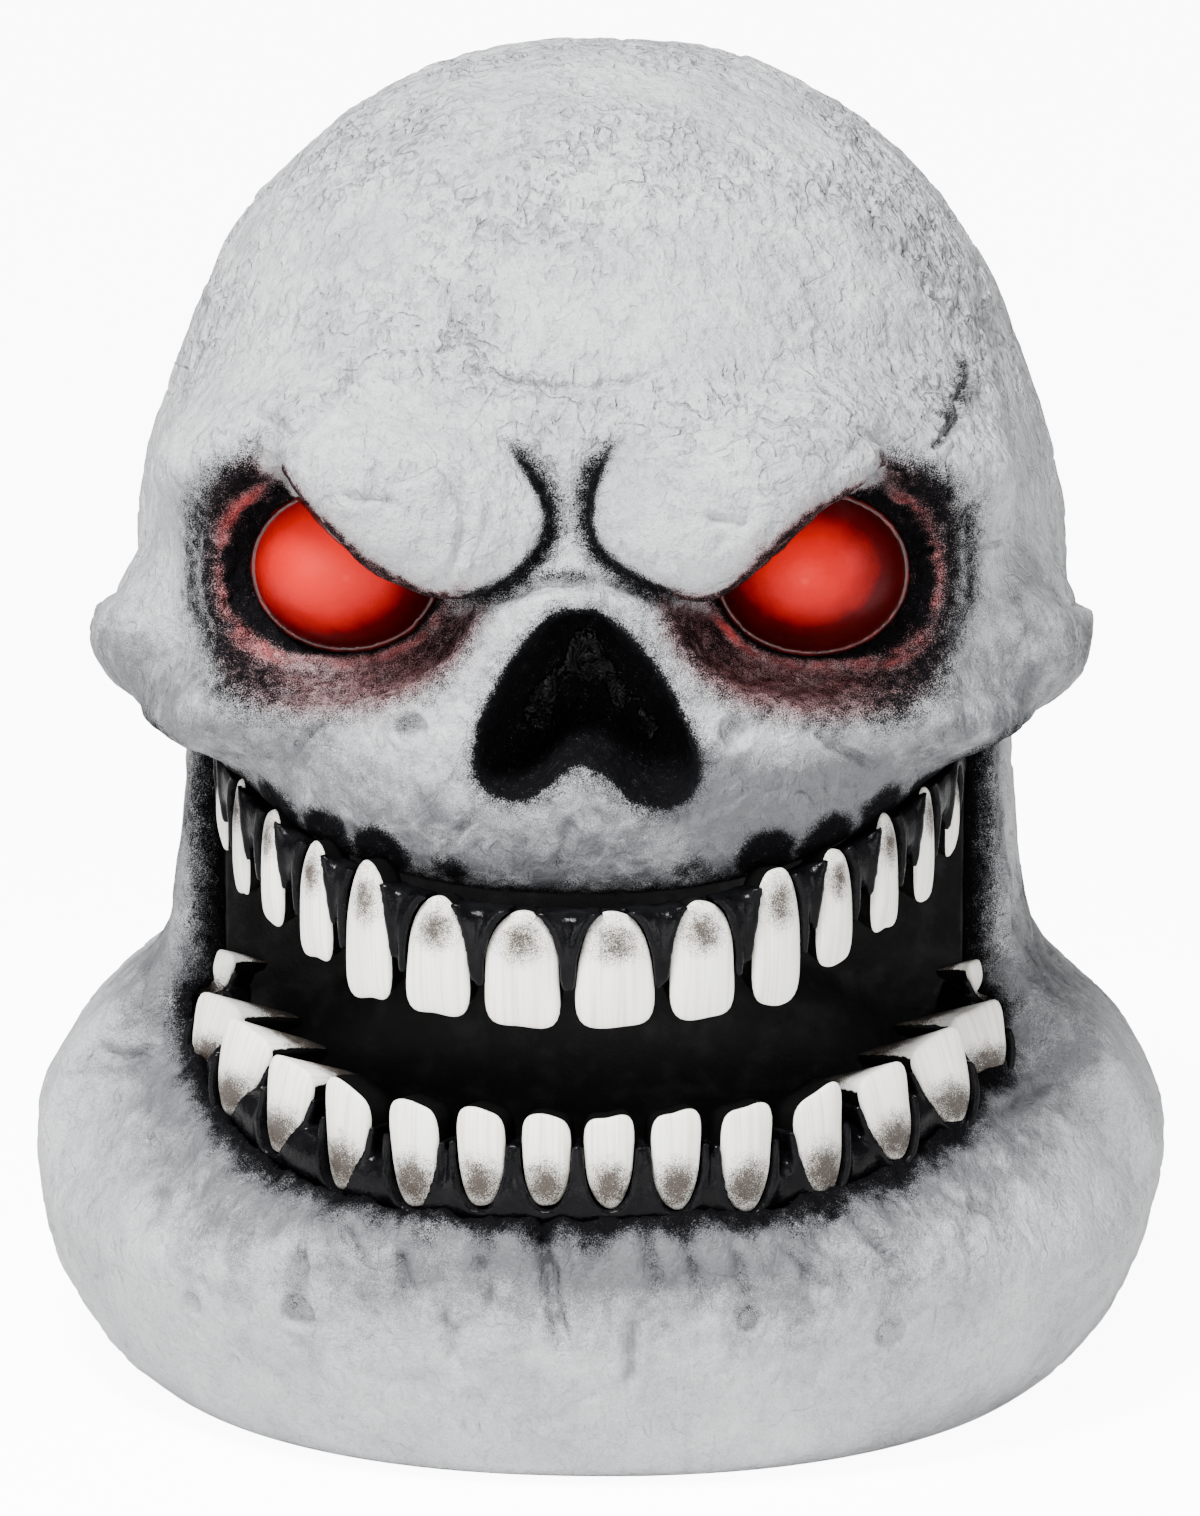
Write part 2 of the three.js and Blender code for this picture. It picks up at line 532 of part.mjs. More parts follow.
const BODY_LEVEL_SHARES = [0, 0.02, 0.07, 0.14, 0.23, 0.33, 0.39, 0.44, 0.49, 0.54, 0.62, 0.8, 1];
const BASE_EDGE_ROUND = 5;
const bodyOuter = (inset) => ringSolid(BODY_LEVEL_SHARES.map((share, i) => (
  bodyRing(share * JAW_HEIGHT, inset + (i === 0 ? BASE_EDGE_ROUND : 0)))));
const bodyHollow = ringSolid([
  bodyRing(BASE_FLANGE_THICKNESS, WALL),
  ...BODY_LEVEL_SHARES.filter((share) => share * JAW_HEIGHT > BASE_FLANGE_THICKNESS)
    .map((share) => bodyRing(share * JAW_HEIGHT, WALL)),
  bodyRing(JAW_HEIGHT + OVERRUN, WALL),
]);

// Distance outside an arch in plan.
function archDistance(x, y, halfWidth, depth, centreY) {
  const [across, along] = [x / halfWidth, (y - centreY) / depth];
  const reach = Math.hypot(across, along) + 1e-9;
  return (reach * (reach - 1)) / (Math.hypot(across / halfWidth, along / depth) + 1e-9);
}
const RIM_RISE_POWER = 1.7;
const RIM_START_SHARE = 0.958;
const RIM_SPAN_SHARE = 0.77;
const RIM_END_SHARE = 1.3;
const rimLine = (y) => {
  const share = (y + JAW_HALF_DEPTH * RIM_START_SHARE) / (JAW_HALF_DEPTH * RIM_SPAN_SHARE);
  return RIM_HEIGHT + RIM_RISE * THREE.MathUtils.clamp(share, 0, RIM_END_SHARE) ** RIM_RISE_POWER;
};

// The floor of the open mouth: level with the rim inside the lower arch, falling away outside it.
const SHOULDER_SLOPE = 0.95;
const SHOULDER_ROUND = 13;
const SHOULDER_START_SHARE = 0.25;
const SHOULDER_LIFT_SHARE = 0.33;
function mouthFloor(x, y) {
  const out = archDistance(x, Math.min(y, LOWER_ARCH_CENTRE_Y), LOWER_ARCH_HALF_WIDTH, LOWER_ARCH_DEPTH,
    LOWER_ARCH_CENTRE_Y) - SHOULDER_ROUND * SHOULDER_START_SHARE;
  const fall = (out + Math.hypot(out, SHOULDER_ROUND)) / 2 - SHOULDER_ROUND * SHOULDER_LIFT_SHARE;
  return rimLine(y) - SHOULDER_SLOPE * fall;
}
const MOUTH_BACK_MIDDLE_SHARE = -0.01;
const MOUTH_BACK_SIDE_SHARE = -0.29;
const mouthBack = (x) => {
  const across = Math.min(Math.abs(x) / LOWER_ARCH_HALF_WIDTH, 1);
  return JAW_HALF_DEPTH * mix(MOUTH_BACK_MIDDLE_SHARE, MOUTH_BACK_SIDE_SHARE, across ** 2);
};

// The air that the mouth cuts out of the lower body, grown by some amount. Its floor is drawn on rings
// that run from the middle of the mouth out to the lower arch, and on to the body's skin.
const INSIDE_RING_SHARES = [0.45, 0.8, 1];
const OUTSIDE_RING_SHARES = [0.22, 0.44, 0.66, 0.86, 1.06, 1.25];
const MOUTH_SWEEP_SHARE = 0.62;
const MOUTH_FAN_SHARE = 0.08;
function mouthAir(growth) {
  const sweep = Math.PI * MOUTH_SWEEP_SHARE;
  const fanY = JAW_HALF_DEPTH * MOUTH_FAN_SHARE;
  const rings = [...INSIDE_RING_SHARES, ...OUTSIDE_RING_SHARES].map((share, level) => (
    Array.from({ length: MOUTH_COLUMNS + 1 }, (_, c) => {
      const turn = mix(-sweep, sweep, c / MOUTH_COLUMNS);
      const [across, along] = [Math.sin(turn), -Math.cos(turn)];
      const arch = [across * LOWER_ARCH_HALF_WIDTH, LOWER_ARCH_CENTRE_Y + along * LOWER_ARCH_DEPTH];
      if (level < INSIDE_RING_SHARES.length) return [arch[0] * share, mix(fanY, arch[1], share)];
      return [mix(arch[0], across * JAW_HALF_WIDTH, share), mix(arch[1], along * JAW_HALF_DEPTH, share)
        + Math.min(along, 0) * 2 * OVERRUN * share];
    })));
  const plan = [[0, fanY], ...rings.flat()];
  const top = JAW_HEIGHT + OVERRUN + growth;
  const points = [
    ...plan.map(([x, y]) => [x, y, mouthFloor(x, y) - growth]),
    ...plan.map(([x, y]) => [x, y, top]),
  ];
  const at = (r, c) => 1 + r * (MOUTH_COLUMNS + 1) + c;
  const triangles = [];
  const both = (a, b, c) => triangles.push([a, b, c], [a + plan.length, c + plan.length, b + plan.length]);
  const wall = (a, b) => triangles.push([b, a, a + plan.length], [b, a + plan.length, b + plan.length]);
  for (let c = 0; c < MOUTH_COLUMNS; c++) {
    both(0, at(0, c), at(0, c + 1));
    for (let r = 0; r + 1 < rings.length; r++) {
      both(at(r, c), at(r + 1, c), at(r + 1, c + 1));
      both(at(r, c), at(r + 1, c + 1), at(r, c + 1));
    }
    wall(at(rings.length - 1, c), at(rings.length - 1, c + 1));
  }
  const firstSpoke = [0, ...rings.map((_, r) => at(r, 0))];
  const lastSpoke = [0, ...rings.map((_, r) => at(r, MOUTH_COLUMNS))];
  for (let r = 0; r < rings.length; r++) {
    wall(firstSpoke[r], firstSpoke[r + 1]);
    wall(lastSpoke[r + 1], lastSpoke[r]);
  }
  return solidFrom(points, triangles).intersect(beforeMouthBack(growth));
}

// Everything in front of the mouth's back wall.
function beforeMouthBack(growth) {
  const edge = JAW_HALF_WIDTH + OVERRUN + growth;
  const front = -JAW_HALF_DEPTH - JAW_HALF_WIDTH;
  const back = Array.from({ length: MOUTH_COLUMNS + 1 }, (_, c) => {
    const x = mix(edge, -edge, c / MOUTH_COLUMNS);
    return [x, mouthBack(x) + growth];
  });
  const plan = [[-edge, front], [edge, front], ...back];
  return ringSolid([-OVERRUN, JAW_HEIGHT + 2 * OVERRUN + growth].map((z) => plan.map(([x, y]) => [x, y, z])));
}

const MOUTH_DISH_Y_SHARE = -0.42;
const MOUTH_DISH_LENGTH_SHARE = 0.476;
const MOUTH_DISH_LIFT = 28;
const MOUTH_DISH_POWER = 2.4;
const mouthDish = (growth) => massSolid({
  centre: [0, JAW_HALF_DEPTH * MOUTH_DISH_Y_SHARE, RIM_HEIGHT + MOUTH_DISH_LIFT],
  radii: grown([LOWER_ARCH_HALF_WIDTH - MOUTH_FLOOR_MARGIN, LOWER_ARCH_DEPTH * MOUTH_DISH_LENGTH_SHARE,
    MOUTH_FLOOR_DEPTH], growth),
  power: MOUTH_DISH_POWER,
  tilt: 0,
});

// A gum: a rounded band that follows an arch, from one end round the front to the other.
const GUM_SECTION_SHARES = [[-1, -0.5], [0, -1], [1, -0.5], [1, 0.5], [0, 1], [-1, 0.5]];
function gumSolid({ halfWidth, depth, centreY, width, height, middleHeight, sweep }, growth) {
  const rings = [];
  for (let i = 0; i <= GUM_STEPS; i++) {
    const past = (i === 0 ? -1 : i === GUM_STEPS ? 1 : 0) * growth / halfWidth;
    const turn = mix(-sweep, sweep, i / GUM_STEPS) + past;
    const centre = [halfWidth * Math.sin(turn), centreY - depth * Math.cos(turn)];
    const out = new THREE.Vector2(Math.sin(turn) / halfWidth, -Math.cos(turn) / depth).normalize();
    const z = middleHeight(centre[0], centre[1]);
    rings.push(GUM_SECTION_SHARES.map(([u, v]) => [
      centre[0] + out.x * u * (width / 2 + growth),
      centre[1] + out.y * u * (width / 2 + growth),
      z + v * (height / 2 + growth),
    ]));
  }
  return ringSolid(rings);
}
const UPPER_GUM_SWEEP_SHARE = 0.5;
const LOWER_GUM_SWEEP_SHARE = 0.43;
const LOWER_GUM_LIFT_SHARE = 0.1;
const UPPER_GUM = {
  halfWidth: UPPER_ARCH_HALF_WIDTH - UPPER_TOOTH_THICKNESS / 2,
  depth: UPPER_ARCH_DEPTH - UPPER_TOOTH_THICKNESS / 2,
  centreY: UPPER_ARCH_CENTRE_Y,
  width: UPPER_GUM_WIDTH,
  height: UPPER_GUM_HEIGHT,
  middleHeight: (x) => gumLine(x) - GAP - UPPER_GUM_HEIGHT / 2,
  sweep: Math.PI * UPPER_GUM_SWEEP_SHARE,
};
const LOWER_GUM = {
  halfWidth: LOWER_ARCH_HALF_WIDTH - LOWER_TOOTH_THICKNESS / 2,
  depth: LOWER_ARCH_DEPTH - LOWER_TOOTH_THICKNESS / 2,
  centreY: LOWER_ARCH_CENTRE_Y,
  width: LOWER_GUM_WIDTH,
  height: LOWER_GUM_HEIGHT,
  middleHeight: (x, y) => rimLine(y) + LOWER_GUM_HEIGHT * LOWER_GUM_LIFT_SHARE,
  sweep: Math.PI * LOWER_GUM_SWEEP_SHARE,
};

// A tooth stands on its arch, square to it, as rings from its root to its tip.
function toothSolid(tooth, growth) {
  const { profile, length, halfWidth, halfThickness, root, down, flare, lobe, foot, out } = tooth;
  const side = new THREE.Vector2(-out.y, out.x);
  const last = profile.length - 1;
  return ringSolid(profile.map(([along, wide, thick], level) => {
    const past = level === 0 ? -growth : level === last ? growth : 0;
    const height = root + (down ? -1 : 1) * (along * length + past);
    const lean = flare * length * along ** 2;
    const inward = 1 + lobe * along ** LOBE_POWER;
    return Array.from({ length: TOOTH_SIDES }, (_, s) => {
      const turn = (2 * Math.PI * s) / TOOTH_SIDES;
      const [u, v] = [Math.cos(turn), Math.sin(turn)];
      const reach = (Math.abs(u) ** TOOTH_POWER + Math.abs(v) ** TOOTH_POWER) ** (-1 / TOOTH_POWER);
      const across = u * reach * (halfWidth * wide + growth);
      const half = halfThickness * thick * (v < 0 ? inward : 1) + growth;
      const through = v * reach * half + lean;
      return [foot.x + side.x * across + out.x * through, foot.y + side.y * across + out.y * through, height];
    });
  }));
}

function toothRow(shares, row) {
  const teeth = [];
  for (const [, side] of SIDES) {
    for (const share of shares) {
      const turn = Math.asin(share.across);
      const [across, along] = [side * Math.sin(turn), -Math.cos(turn)];
      const out = new THREE.Vector2(across / row.halfWidth, along / row.depth).normalize();
      const foot = new THREE.Vector2(row.halfWidth * across + row.shift, row.centreY + row.depth * along)
        .addScaledVector(out, TOOTH_STAND_OUT - row.thickness / 2);
      teeth.push({
        profile: row.profile,
        length: share.length * row.length,
        halfWidth: (share.width * row.width) / 2,
        halfThickness: row.thickness / 2,
        root: row.root + share.lift * row.length,
        down: row.down,
        flare: share.flare,
        lobe: share.lobe ?? 0,
        foot,
        out,
        place: side * share.across,
      });
    }
  }
  return teeth.sort((a, b) => a.place - b.place);
}
const upperTeeth = toothRow(UPPER_TOOTH_SHARES, {
  halfWidth: UPPER_ARCH_HALF_WIDTH, depth: UPPER_ARCH_DEPTH, centreY: UPPER_ARCH_CENTRE_Y, shift: 0,
  width: UPPER_TOOTH_WIDTH, length: UPPER_TOOTH_LENGTH, thickness: UPPER_TOOTH_THICKNESS,
  root: GUM_LINE_HEIGHT, down: true, profile: UPPER_PROFILE_SHARES,
});
const lowerTeeth = toothRow(LOWER_TOOTH_SHARES, {
  halfWidth: LOWER_ARCH_HALF_WIDTH, depth: LOWER_ARCH_DEPTH, centreY: LOWER_ARCH_CENTRE_Y,
  shift: LOWER_ARCH_SHIFT_SHARE * LOWER_ARCH_HALF_WIDTH,
  width: LOWER_TOOTH_WIDTH, length: LOWER_TOOTH_LENGTH, thickness: LOWER_TOOTH_THICKNESS,
  root: RIM_HEIGHT, down: false, profile: LOWER_PROFILE_SHARES,
});
const withTeethCut = (gum, teeth) => (
  teeth.reduce((left, tooth) => left.subtract(toothSolid(tooth, GAP)), gum));
const palate = aboveGumLine(-GAP);
const upperGum = withTeethCut(gumSolid(UPPER_GUM, 0).subtract(palate), upperTeeth);
const lowerGum = withTeethCut(gumSolid(LOWER_GUM, 0), lowerTeeth);

// The lower body: one skin round the outside and the mouth, open below and at the back window.
const headAir = headSkin(GAP, HEAD_COLUMNS, HEAD_ROWS).intersect(aboveGumLine(-GAP));
let body = bodyOuter(0).subtract(mouthAir(0)).subtract(mouthDish(0)).subtract(headAir);
body = body.subtract(bodyHollow.subtract(mouthAir(WALL)).subtract(mouthDish(WALL)));
body = withTeethCut(body.subtract(gumSolid(LOWER_GUM, GAP)), lowerTeeth);

// The base plate sits in a rebate of the body's bottom flange.
const PLATE_SCALE_SHARE = 0.88;
const BASE_OPENING_SCALE_SHARE = 0.78;
const basePrism = (scale, inset, low, high) => {
  const ring = bodyRing(0, inset, BODY_COLUMNS, scale);
  return ringSolid([low, high].map((z) => ring.map(([x, y]) => [x, y, z])));
};
body = body.subtract(basePrism(BASE_OPENING_SCALE_SHARE, 0, -OVERRUN, BASE_FLANGE_THICKNESS + OVERRUN));
body = body.subtract(basePrism(PLATE_SCALE_SHARE, 0, -OVERRUN, BASE_PLATE_THICKNESS + GAP));
let basePlate = basePrism(PLATE_SCALE_SHARE, GAP, 0, BASE_PLATE_THICKNESS);
const screwReach = (PLATE_SCALE_SHARE + BASE_OPENING_SCALE_SHARE) / 2;
const screwRing = bodyRing(0, 0, 2 * BASE_SCREW_COUNT, screwReach);
const baseScrews = Array.from({ length: BASE_SCREW_COUNT }, (_, corner) => {
  const [x, y] = screwRing[2 * corner + 1];
  const recess = BASE_SCREW_HEAD_HEIGHT + GAP;
  const screw = (growth) => barSolid([x, y, GAP - growth], [0, 0, 1], BASE_SCREW_HEAD_HEIGHT + 2 * growth,
    BASE_SCREW_HEAD_RADIUS + growth)
    .add(barSolid([x, y, GAP], [0, 0, 1], BASE_SCREW_LENGTH + growth, BASE_SCREW_RADIUS + growth));
  basePlate = basePlate.subtract(barSolid([x, y, -OVERRUN], [0, 0, 1], OVERRUN + recess + GAP,
    BASE_SCREW_HEAD_RADIUS + SCREW_HOLE_CLEARANCE));
  basePlate = basePlate.subtract(screw(SCREW_HOLE_CLEARANCE));
  body = body.subtract(screw(SCREW_HOLE_CLEARANCE));
  return screw(0);
});

// The back window holds a sunk panel, flush with the body's skin.
const panelBox = (growth, floorY) => boxSolid(
  [-PANEL_HALF_WIDTH - growth, floorY, PANEL_BOTTOM - growth],
  [PANEL_HALF_WIDTH + growth, JAW_HALF_DEPTH + OVERRUN, PANEL_BOTTOM + PANEL_HEIGHT + growth],
);
body = body.subtract(panelBox(GAP, PANEL_FLOOR_Y - PANEL_WALL - GAP));
let rearPanel = panelBox(0, PANEL_FLOOR_Y - PANEL_WALL).intersect(bodyOuter(GAP))
  .subtract(panelBox(-PANEL_WALL, PANEL_FLOOR_Y));

// The battery box hangs behind the panel's floor, and the cells stand in it side by side.
const boxInnerWidth = CELL_COUNT * 2 * CELL_RADIUS + (CELL_COUNT + 1) * 2 * GAP;
const boxInnerHeight = CELL_LENGTH + CELL_TIP_LENGTH + CELL_CONTACT_ROOM;
const boxInnerDepth = 2 * CELL_RADIUS + 2 * GAP;
const DOOR_CENTRE_SHARE = 0.47;
const doorCentreZ = PANEL_BOTTOM + PANEL_HEIGHT * DOOR_CENTRE_SHARE;
const boxFrontY = PANEL_FLOOR_Y - PANEL_WALL - GAP;
const compartment = (growth, backY, frontY) => boxSolid(
  [-boxInnerWidth / 2 - growth, backY, doorCentreZ - boxInnerHeight / 2 - growth],
  [boxInnerWidth / 2 + growth, frontY, doorCentreZ + boxInnerHeight / 2 + growth],
);
const batteryBox = compartment(BATTERY_BOX_WALL, boxFrontY - boxInnerDepth - BATTERY_BOX_WALL, boxFrontY)
  .subtract(compartment(0, boxFrontY - boxInnerDepth, boxFrontY + OVERRUN));
rearPanel = rearPanel.subtract(compartment(0, boxFrontY - OVERRUN, PANEL_FLOOR_Y + OVERRUN));
const cellPitch = 2 * CELL_RADIUS + 2 * GAP;
const cells = Array.from({ length: CELL_COUNT }, (_, i) => {
  const x = (i - (CELL_COUNT - 1) / 2) * cellPitch;
  const y = boxFrontY - boxInnerDepth + CELL_RADIUS + GAP;
  const low = doorCentreZ - boxInnerHeight / 2 + GAP;
  const tip = barSolid([x, y, low + CELL_LENGTH / 2], [0, 0, 1], CELL_LENGTH / 2 + CELL_TIP_LENGTH,
    CELL_TIP_RADIUS);
  return barSolid([x, y, low], [0, 0, 1], CELL_LENGTH, CELL_RADIUS).add(tip);
});

// The door hangs from two pins in the panel's ears and swings up and out.
const doorHalfWidth = boxInnerWidth / 2 + DOOR_MARGIN;
const doorLow = doorCentreZ - boxInnerHeight / 2 - 2 * DOOR_MARGIN;
const doorHigh = doorCentreZ + boxInnerHeight / 2 + DOOR_MARGIN;
const hingeY = PANEL_FLOOR_Y + GAP + HINGE_BARREL_RADIUS;
const hingeZ = doorHigh + HINGE_BARREL_RADIUS;
const earGap = doorHalfWidth - HINGE_EAR_THICKNESS;
let batteryDoor = boxSolid([-doorHalfWidth, PANEL_FLOOR_Y + GAP, doorLow],
  [doorHalfWidth, PANEL_FLOOR_Y + GAP + DOOR_THICKNESS, doorHigh - HINGE_BARREL_RADIUS]);
batteryDoor = batteryDoor.add(boxSolid(
  [GAP - earGap, PANEL_FLOOR_Y + GAP, doorHigh - 2 * HINGE_BARREL_RADIUS],
  [earGap - GAP, PANEL_FLOOR_Y + GAP + DOOR_THICKNESS, hingeZ],
));
batteryDoor = batteryDoor.add(barSolid([GAP - earGap, hingeY, hingeZ], [1, 0, 0], 2 * (earGap - GAP),
  HINGE_BARREL_RADIUS));
batteryDoor = batteryDoor.add(barSolid([-doorHalfWidth, hingeY, hingeZ], [1, 0, 0], 2 * doorHalfWidth,
  HINGE_PIN_RADIUS));
for (const [, side] of SIDES) {
  const [a, b] = [side * earGap, side * (earGap + HINGE_EAR_THICKNESS)].sort((m, n) => m - n);
  rearPanel = rearPanel.add(boxSolid(
    [a, PANEL_FLOOR_Y - PANEL_WALL / 2, hingeZ - HINGE_BARREL_RADIUS],
    [b, hingeY + HINGE_BARREL_RADIUS, hingeZ + HINGE_BARREL_RADIUS],
  ));
}
rearPanel = rearPanel.subtract(barSolid([-doorHalfWidth - GAP, hingeY, hingeZ], [1, 0, 0],
  2 * (doorHalfWidth + GAP), HINGE_PIN_RADIUS + HINGE_PIN_CLEARANCE));

// One captive screw keeps the door shut.
const doorScrewZ = doorLow + DOOR_SCREW_HEAD_RADIUS + 2 * GAP;
const doorFaceY = PANEL_FLOOR_Y + GAP + DOOR_THICKNESS;
const doorScrew = (growth) => barSolid([0, doorFaceY + DOOR_SCREW_HEAD_HEIGHT / 2 + growth, doorScrewZ],
  [0, -1, 0], DOOR_SCREW_HEAD_HEIGHT + growth, DOOR_SCREW_HEAD_RADIUS + growth)
  .add(barSolid([0, doorFaceY, doorScrewZ], [0, -1, 0], DOOR_SCREW_LENGTH, DOOR_SCREW_RADIUS + growth));
batteryDoor = batteryDoor.subtract(doorScrew(GAP));
rearPanel = rearPanel.subtract(barSolid([0, PANEL_FLOOR_Y + OVERRUN, doorScrewZ], [0, -1, 0],
  PANEL_WALL + 2 * OVERRUN, DOOR_SCREW_RADIUS + DOOR_SCREW_CLEARANCE));

// The slide switch sits beside the door: its body behind the floor, its thumb piece in front.
const switchX = (doorHalfWidth + PANEL_HALF_WIDTH - PANEL_WALL) / 2;
const switchZ = doorCentreZ;
const switchFrontY = PANEL_FLOOR_Y - PANEL_WALL - GAP;
const slotReach = (SWITCH_TRAVEL + SLIDER_STEM_SIZE) / 2;
const slotBox = (growth, backY, frontY) => boxSolid(
  [switchX - slotReach - growth, backY, switchZ - SLIDER_STEM_SIZE / 2 - growth],
  [switchX + slotReach + growth, frontY, switchZ + SLIDER_STEM_SIZE / 2 + growth],
);
rearPanel = rearPanel.subtract(slotBox(GAP, PANEL_FLOOR_Y - PANEL_WALL - OVERRUN, PANEL_FLOOR_Y + OVERRUN));
const switchBody = boxSolid(
  [switchX - SWITCH_WIDTH / 2, switchFrontY - SWITCH_DEPTH, switchZ - SWITCH_HEIGHT / 2],
  [switchX + SWITCH_WIDTH / 2, switchFrontY, switchZ + SWITCH_HEIGHT / 2],
).subtract(slotBox(GAP, switchFrontY - SWITCH_DEPTH / 2 - GAP, switchFrontY + OVERRUN));
const sliderX = switchX - SWITCH_TRAVEL / 2;
const slider = boxSolid(
  [sliderX - SLIDER_WIDTH / 2, PANEL_FLOOR_Y + GAP, switchZ - SLIDER_HEIGHT / 2],
  [sliderX + SLIDER_WIDTH / 2, PANEL_FLOOR_Y + GAP + SLIDER_CAP_THICKNESS, switchZ + SLIDER_HEIGHT / 2],
).add(boxSolid(
  [sliderX - SLIDER_STEM_SIZE / 2, switchFrontY - SWITCH_DEPTH / 2, switchZ - SLIDER_STEM_SIZE / 2],
  [sliderX + SLIDER_STEM_SIZE / 2, PANEL_FLOOR_Y + GAP + SLIDER_CAP_THICKNESS / 2,
    switchZ + SLIDER_STEM_SIZE / 2],
));

// The lower body comes apart under the lower gum: the outer jaw, and a black tray that lines the mouth.
const TRAY_EDGE_SHARE = 0.94;
function trayRegion(growth) {
  const steps = 24;
  const halfWidth = LOWER_ARCH_HALF_WIDTH * TRAY_EDGE_SHARE + growth;
  const depth = LOWER_ARCH_DEPTH * TRAY_EDGE_SHARE + growth;
  const back = NECK_FRONT + growth;
  const outline = Array.from({ length: steps + 1 }, (_, i) => {
    const turn = mix(-Math.PI / 2, Math.PI / 2, i / steps);
    return [halfWidth * Math.sin(turn), LOWER_ARCH_CENTRE_Y - depth * Math.cos(turn)];
  });
  const plan = [...outline, [halfWidth, back], [-halfWidth, back]];
  return ringSolid([RIM_HEIGHT - MOUTH_FLOOR_DEPTH, JAW_HEIGHT + OVERRUN].map((z, level) => (
    plan.map(([x, y]) => [x, y, z + (level ? growth : -growth)]))));
}
const mouthTray = body.intersect(trayRegion(-GAP / 2));
const jawShell = body.subtract(trayRegion(GAP / 2));

// Two leads run inside from the battery box through the neck to the light boards.
const LEAD_ROUTE_SHARES = [[0.14, 0.5, -0.09], [0.2, 0.36, 0.1], [0.3, 0.2, 0.29], [0.4, -0.1, 0.5]];
const LEAD_RUN_OUT = 7;
const leads = SIDES.map(([, side]) => {
  const { centre } = lensMass(side, 0);
  const start = new THREE.Vector3(side * boxInnerWidth / 4, boxFrontY - boxInnerDepth / 2,
    doorCentreZ + boxInnerHeight / 2 + BATTERY_BOX_WALL + GAP);
  const boardY = centre[1] + LENS_HALF_DEPTH * LENS_BACK_SHARE + GAP + LED_BOARD_THICKNESS;
  const end = new THREE.Vector3(centre[0], boardY + GAP, centre[2]);
  const middle = LEAD_ROUTE_SHARES.map(([x, y, z]) => (
    new THREE.Vector3(side * x * CRANIUM_HALF_WIDTH, y * CRANIUM_HALF_DEPTH,
      GUM_LINE_HEIGHT + z * CRANIUM_HALF_HEIGHT)));
  const up = start.clone().add(new THREE.Vector3(0, 0, LEAD_RUN_OUT));
  const before = end.clone().add(new THREE.Vector3(0, LEAD_RUN_OUT, 0));
  const route = new THREE.CatmullRomCurve3([start, up, ...middle, before, end], false, 'centripetal');
  const section = new THREE.Shape(Array.from({ length: LEAD_SIDES }, (_, s) => {
    const turn = (2 * Math.PI * s) / LEAD_SIDES;
    return new THREE.Vector2(LEAD_RADIUS * Math.cos(turn), LEAD_RADIUS * Math.sin(turn));
  }));
  const settings = { steps: LEAD_STEPS, extrudePath: route, bevelEnabled: false };
  return solidOf(new THREE.ExtrudeGeometry(section, settings));
});

// Finishes.
const finish = (color, roughness, metalness = 0, extra = {}) => (
  new THREE.MeshStandardMaterial({ color, roughness, metalness, ...extra }));
const FINISHES = {
  bone: finish(0xc9cacc, 0.6),
  gum: finish(0x14130f, 0.3),
  tooth: finish(0xe6dfcf, 0.45),
  eye: finish(0xd01510, 0.25, 0, { emissive: 0xa00806 }),
  circuit: finish(0x1e5a34, 0.5),
  cover: finish(0x1b1b1d, 0.5),
  steel: finish(0x9da0a3, 0.3, 1),
  cell: finish(0x2c3440, 0.35, 0.4),
  wire: finish(0x222222, 0.5),
};

const group = new THREE.Group();
function addPart(name, solid, finishName) {
  const mesh = new THREE.Mesh(geometryOf(solid), FINISHES[finishName].clone());
  mesh.name = name;
  group.add(mesh);
}

addPart('face_shell', faceShell, 'bone');
addPart('back_shell', backShell, 'bone');
addPart('jaw_shell', jawShell, 'bone');
addPart('mouth_tray', mouthTray, 'gum');
addPart('nose_cup', noseCup, 'gum');
addPart('upper_gum', upperGum, 'gum');
addPart('lower_gum', lowerGum, 'gum');
upperTeeth.forEach((tooth, i) => (
  addPart(`upper_tooth_${i + 1}`, toothSolid(tooth, 0).subtract(palate), 'tooth')));
lowerTeeth.forEach((tooth, i) => addPart(`lower_tooth_${i + 1}`, toothSolid(tooth, 0), 'tooth'));
SIDES.forEach(([side], i) => {
  addPart(`eye_lens_${side}`, eyeParts[i].lens, 'eye');
  addPart(`light_board_${side}`, eyeParts[i].board, 'circuit');
  addPart(`light_lead_${side}`, leads[i], 'wire');
});
addPart('base_plate', basePlate, 'cover');
baseScrews.forEach((screw, i) => addPart(`base_screw_${i + 1}`, screw, 'steel'));
addPart('rear_panel', rearPanel, 'cover');
addPart('battery_box', batteryBox, 'cover');
cells.forEach((cell, i) => addPart(`battery_cell_${i + 1}`, cell, 'cell'));
addPart('battery_door', batteryDoor, 'cover');
addPart('door_screw', doorScrew(0), 'steel');
addPart('switch_body', switchBody, 'cover');
addPart('switch_slider', slider, 'cover');

export default group;
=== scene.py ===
"""Light-up skull decoration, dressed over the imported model.

Sizes are worked out in millimetres in the model's own frame and turned into metres when a mesh is
made. The skin of the head and of the lower body is a distance field, the same blended masses as the
solids, drawn on a fine grid. Points written as picture coordinates are traced onto that skin from
the camera, so every crack and stain lies on what carries it.
"""
import math

import bmesh
import bpy
import numpy as np
from mathutils import Matrix, Vector


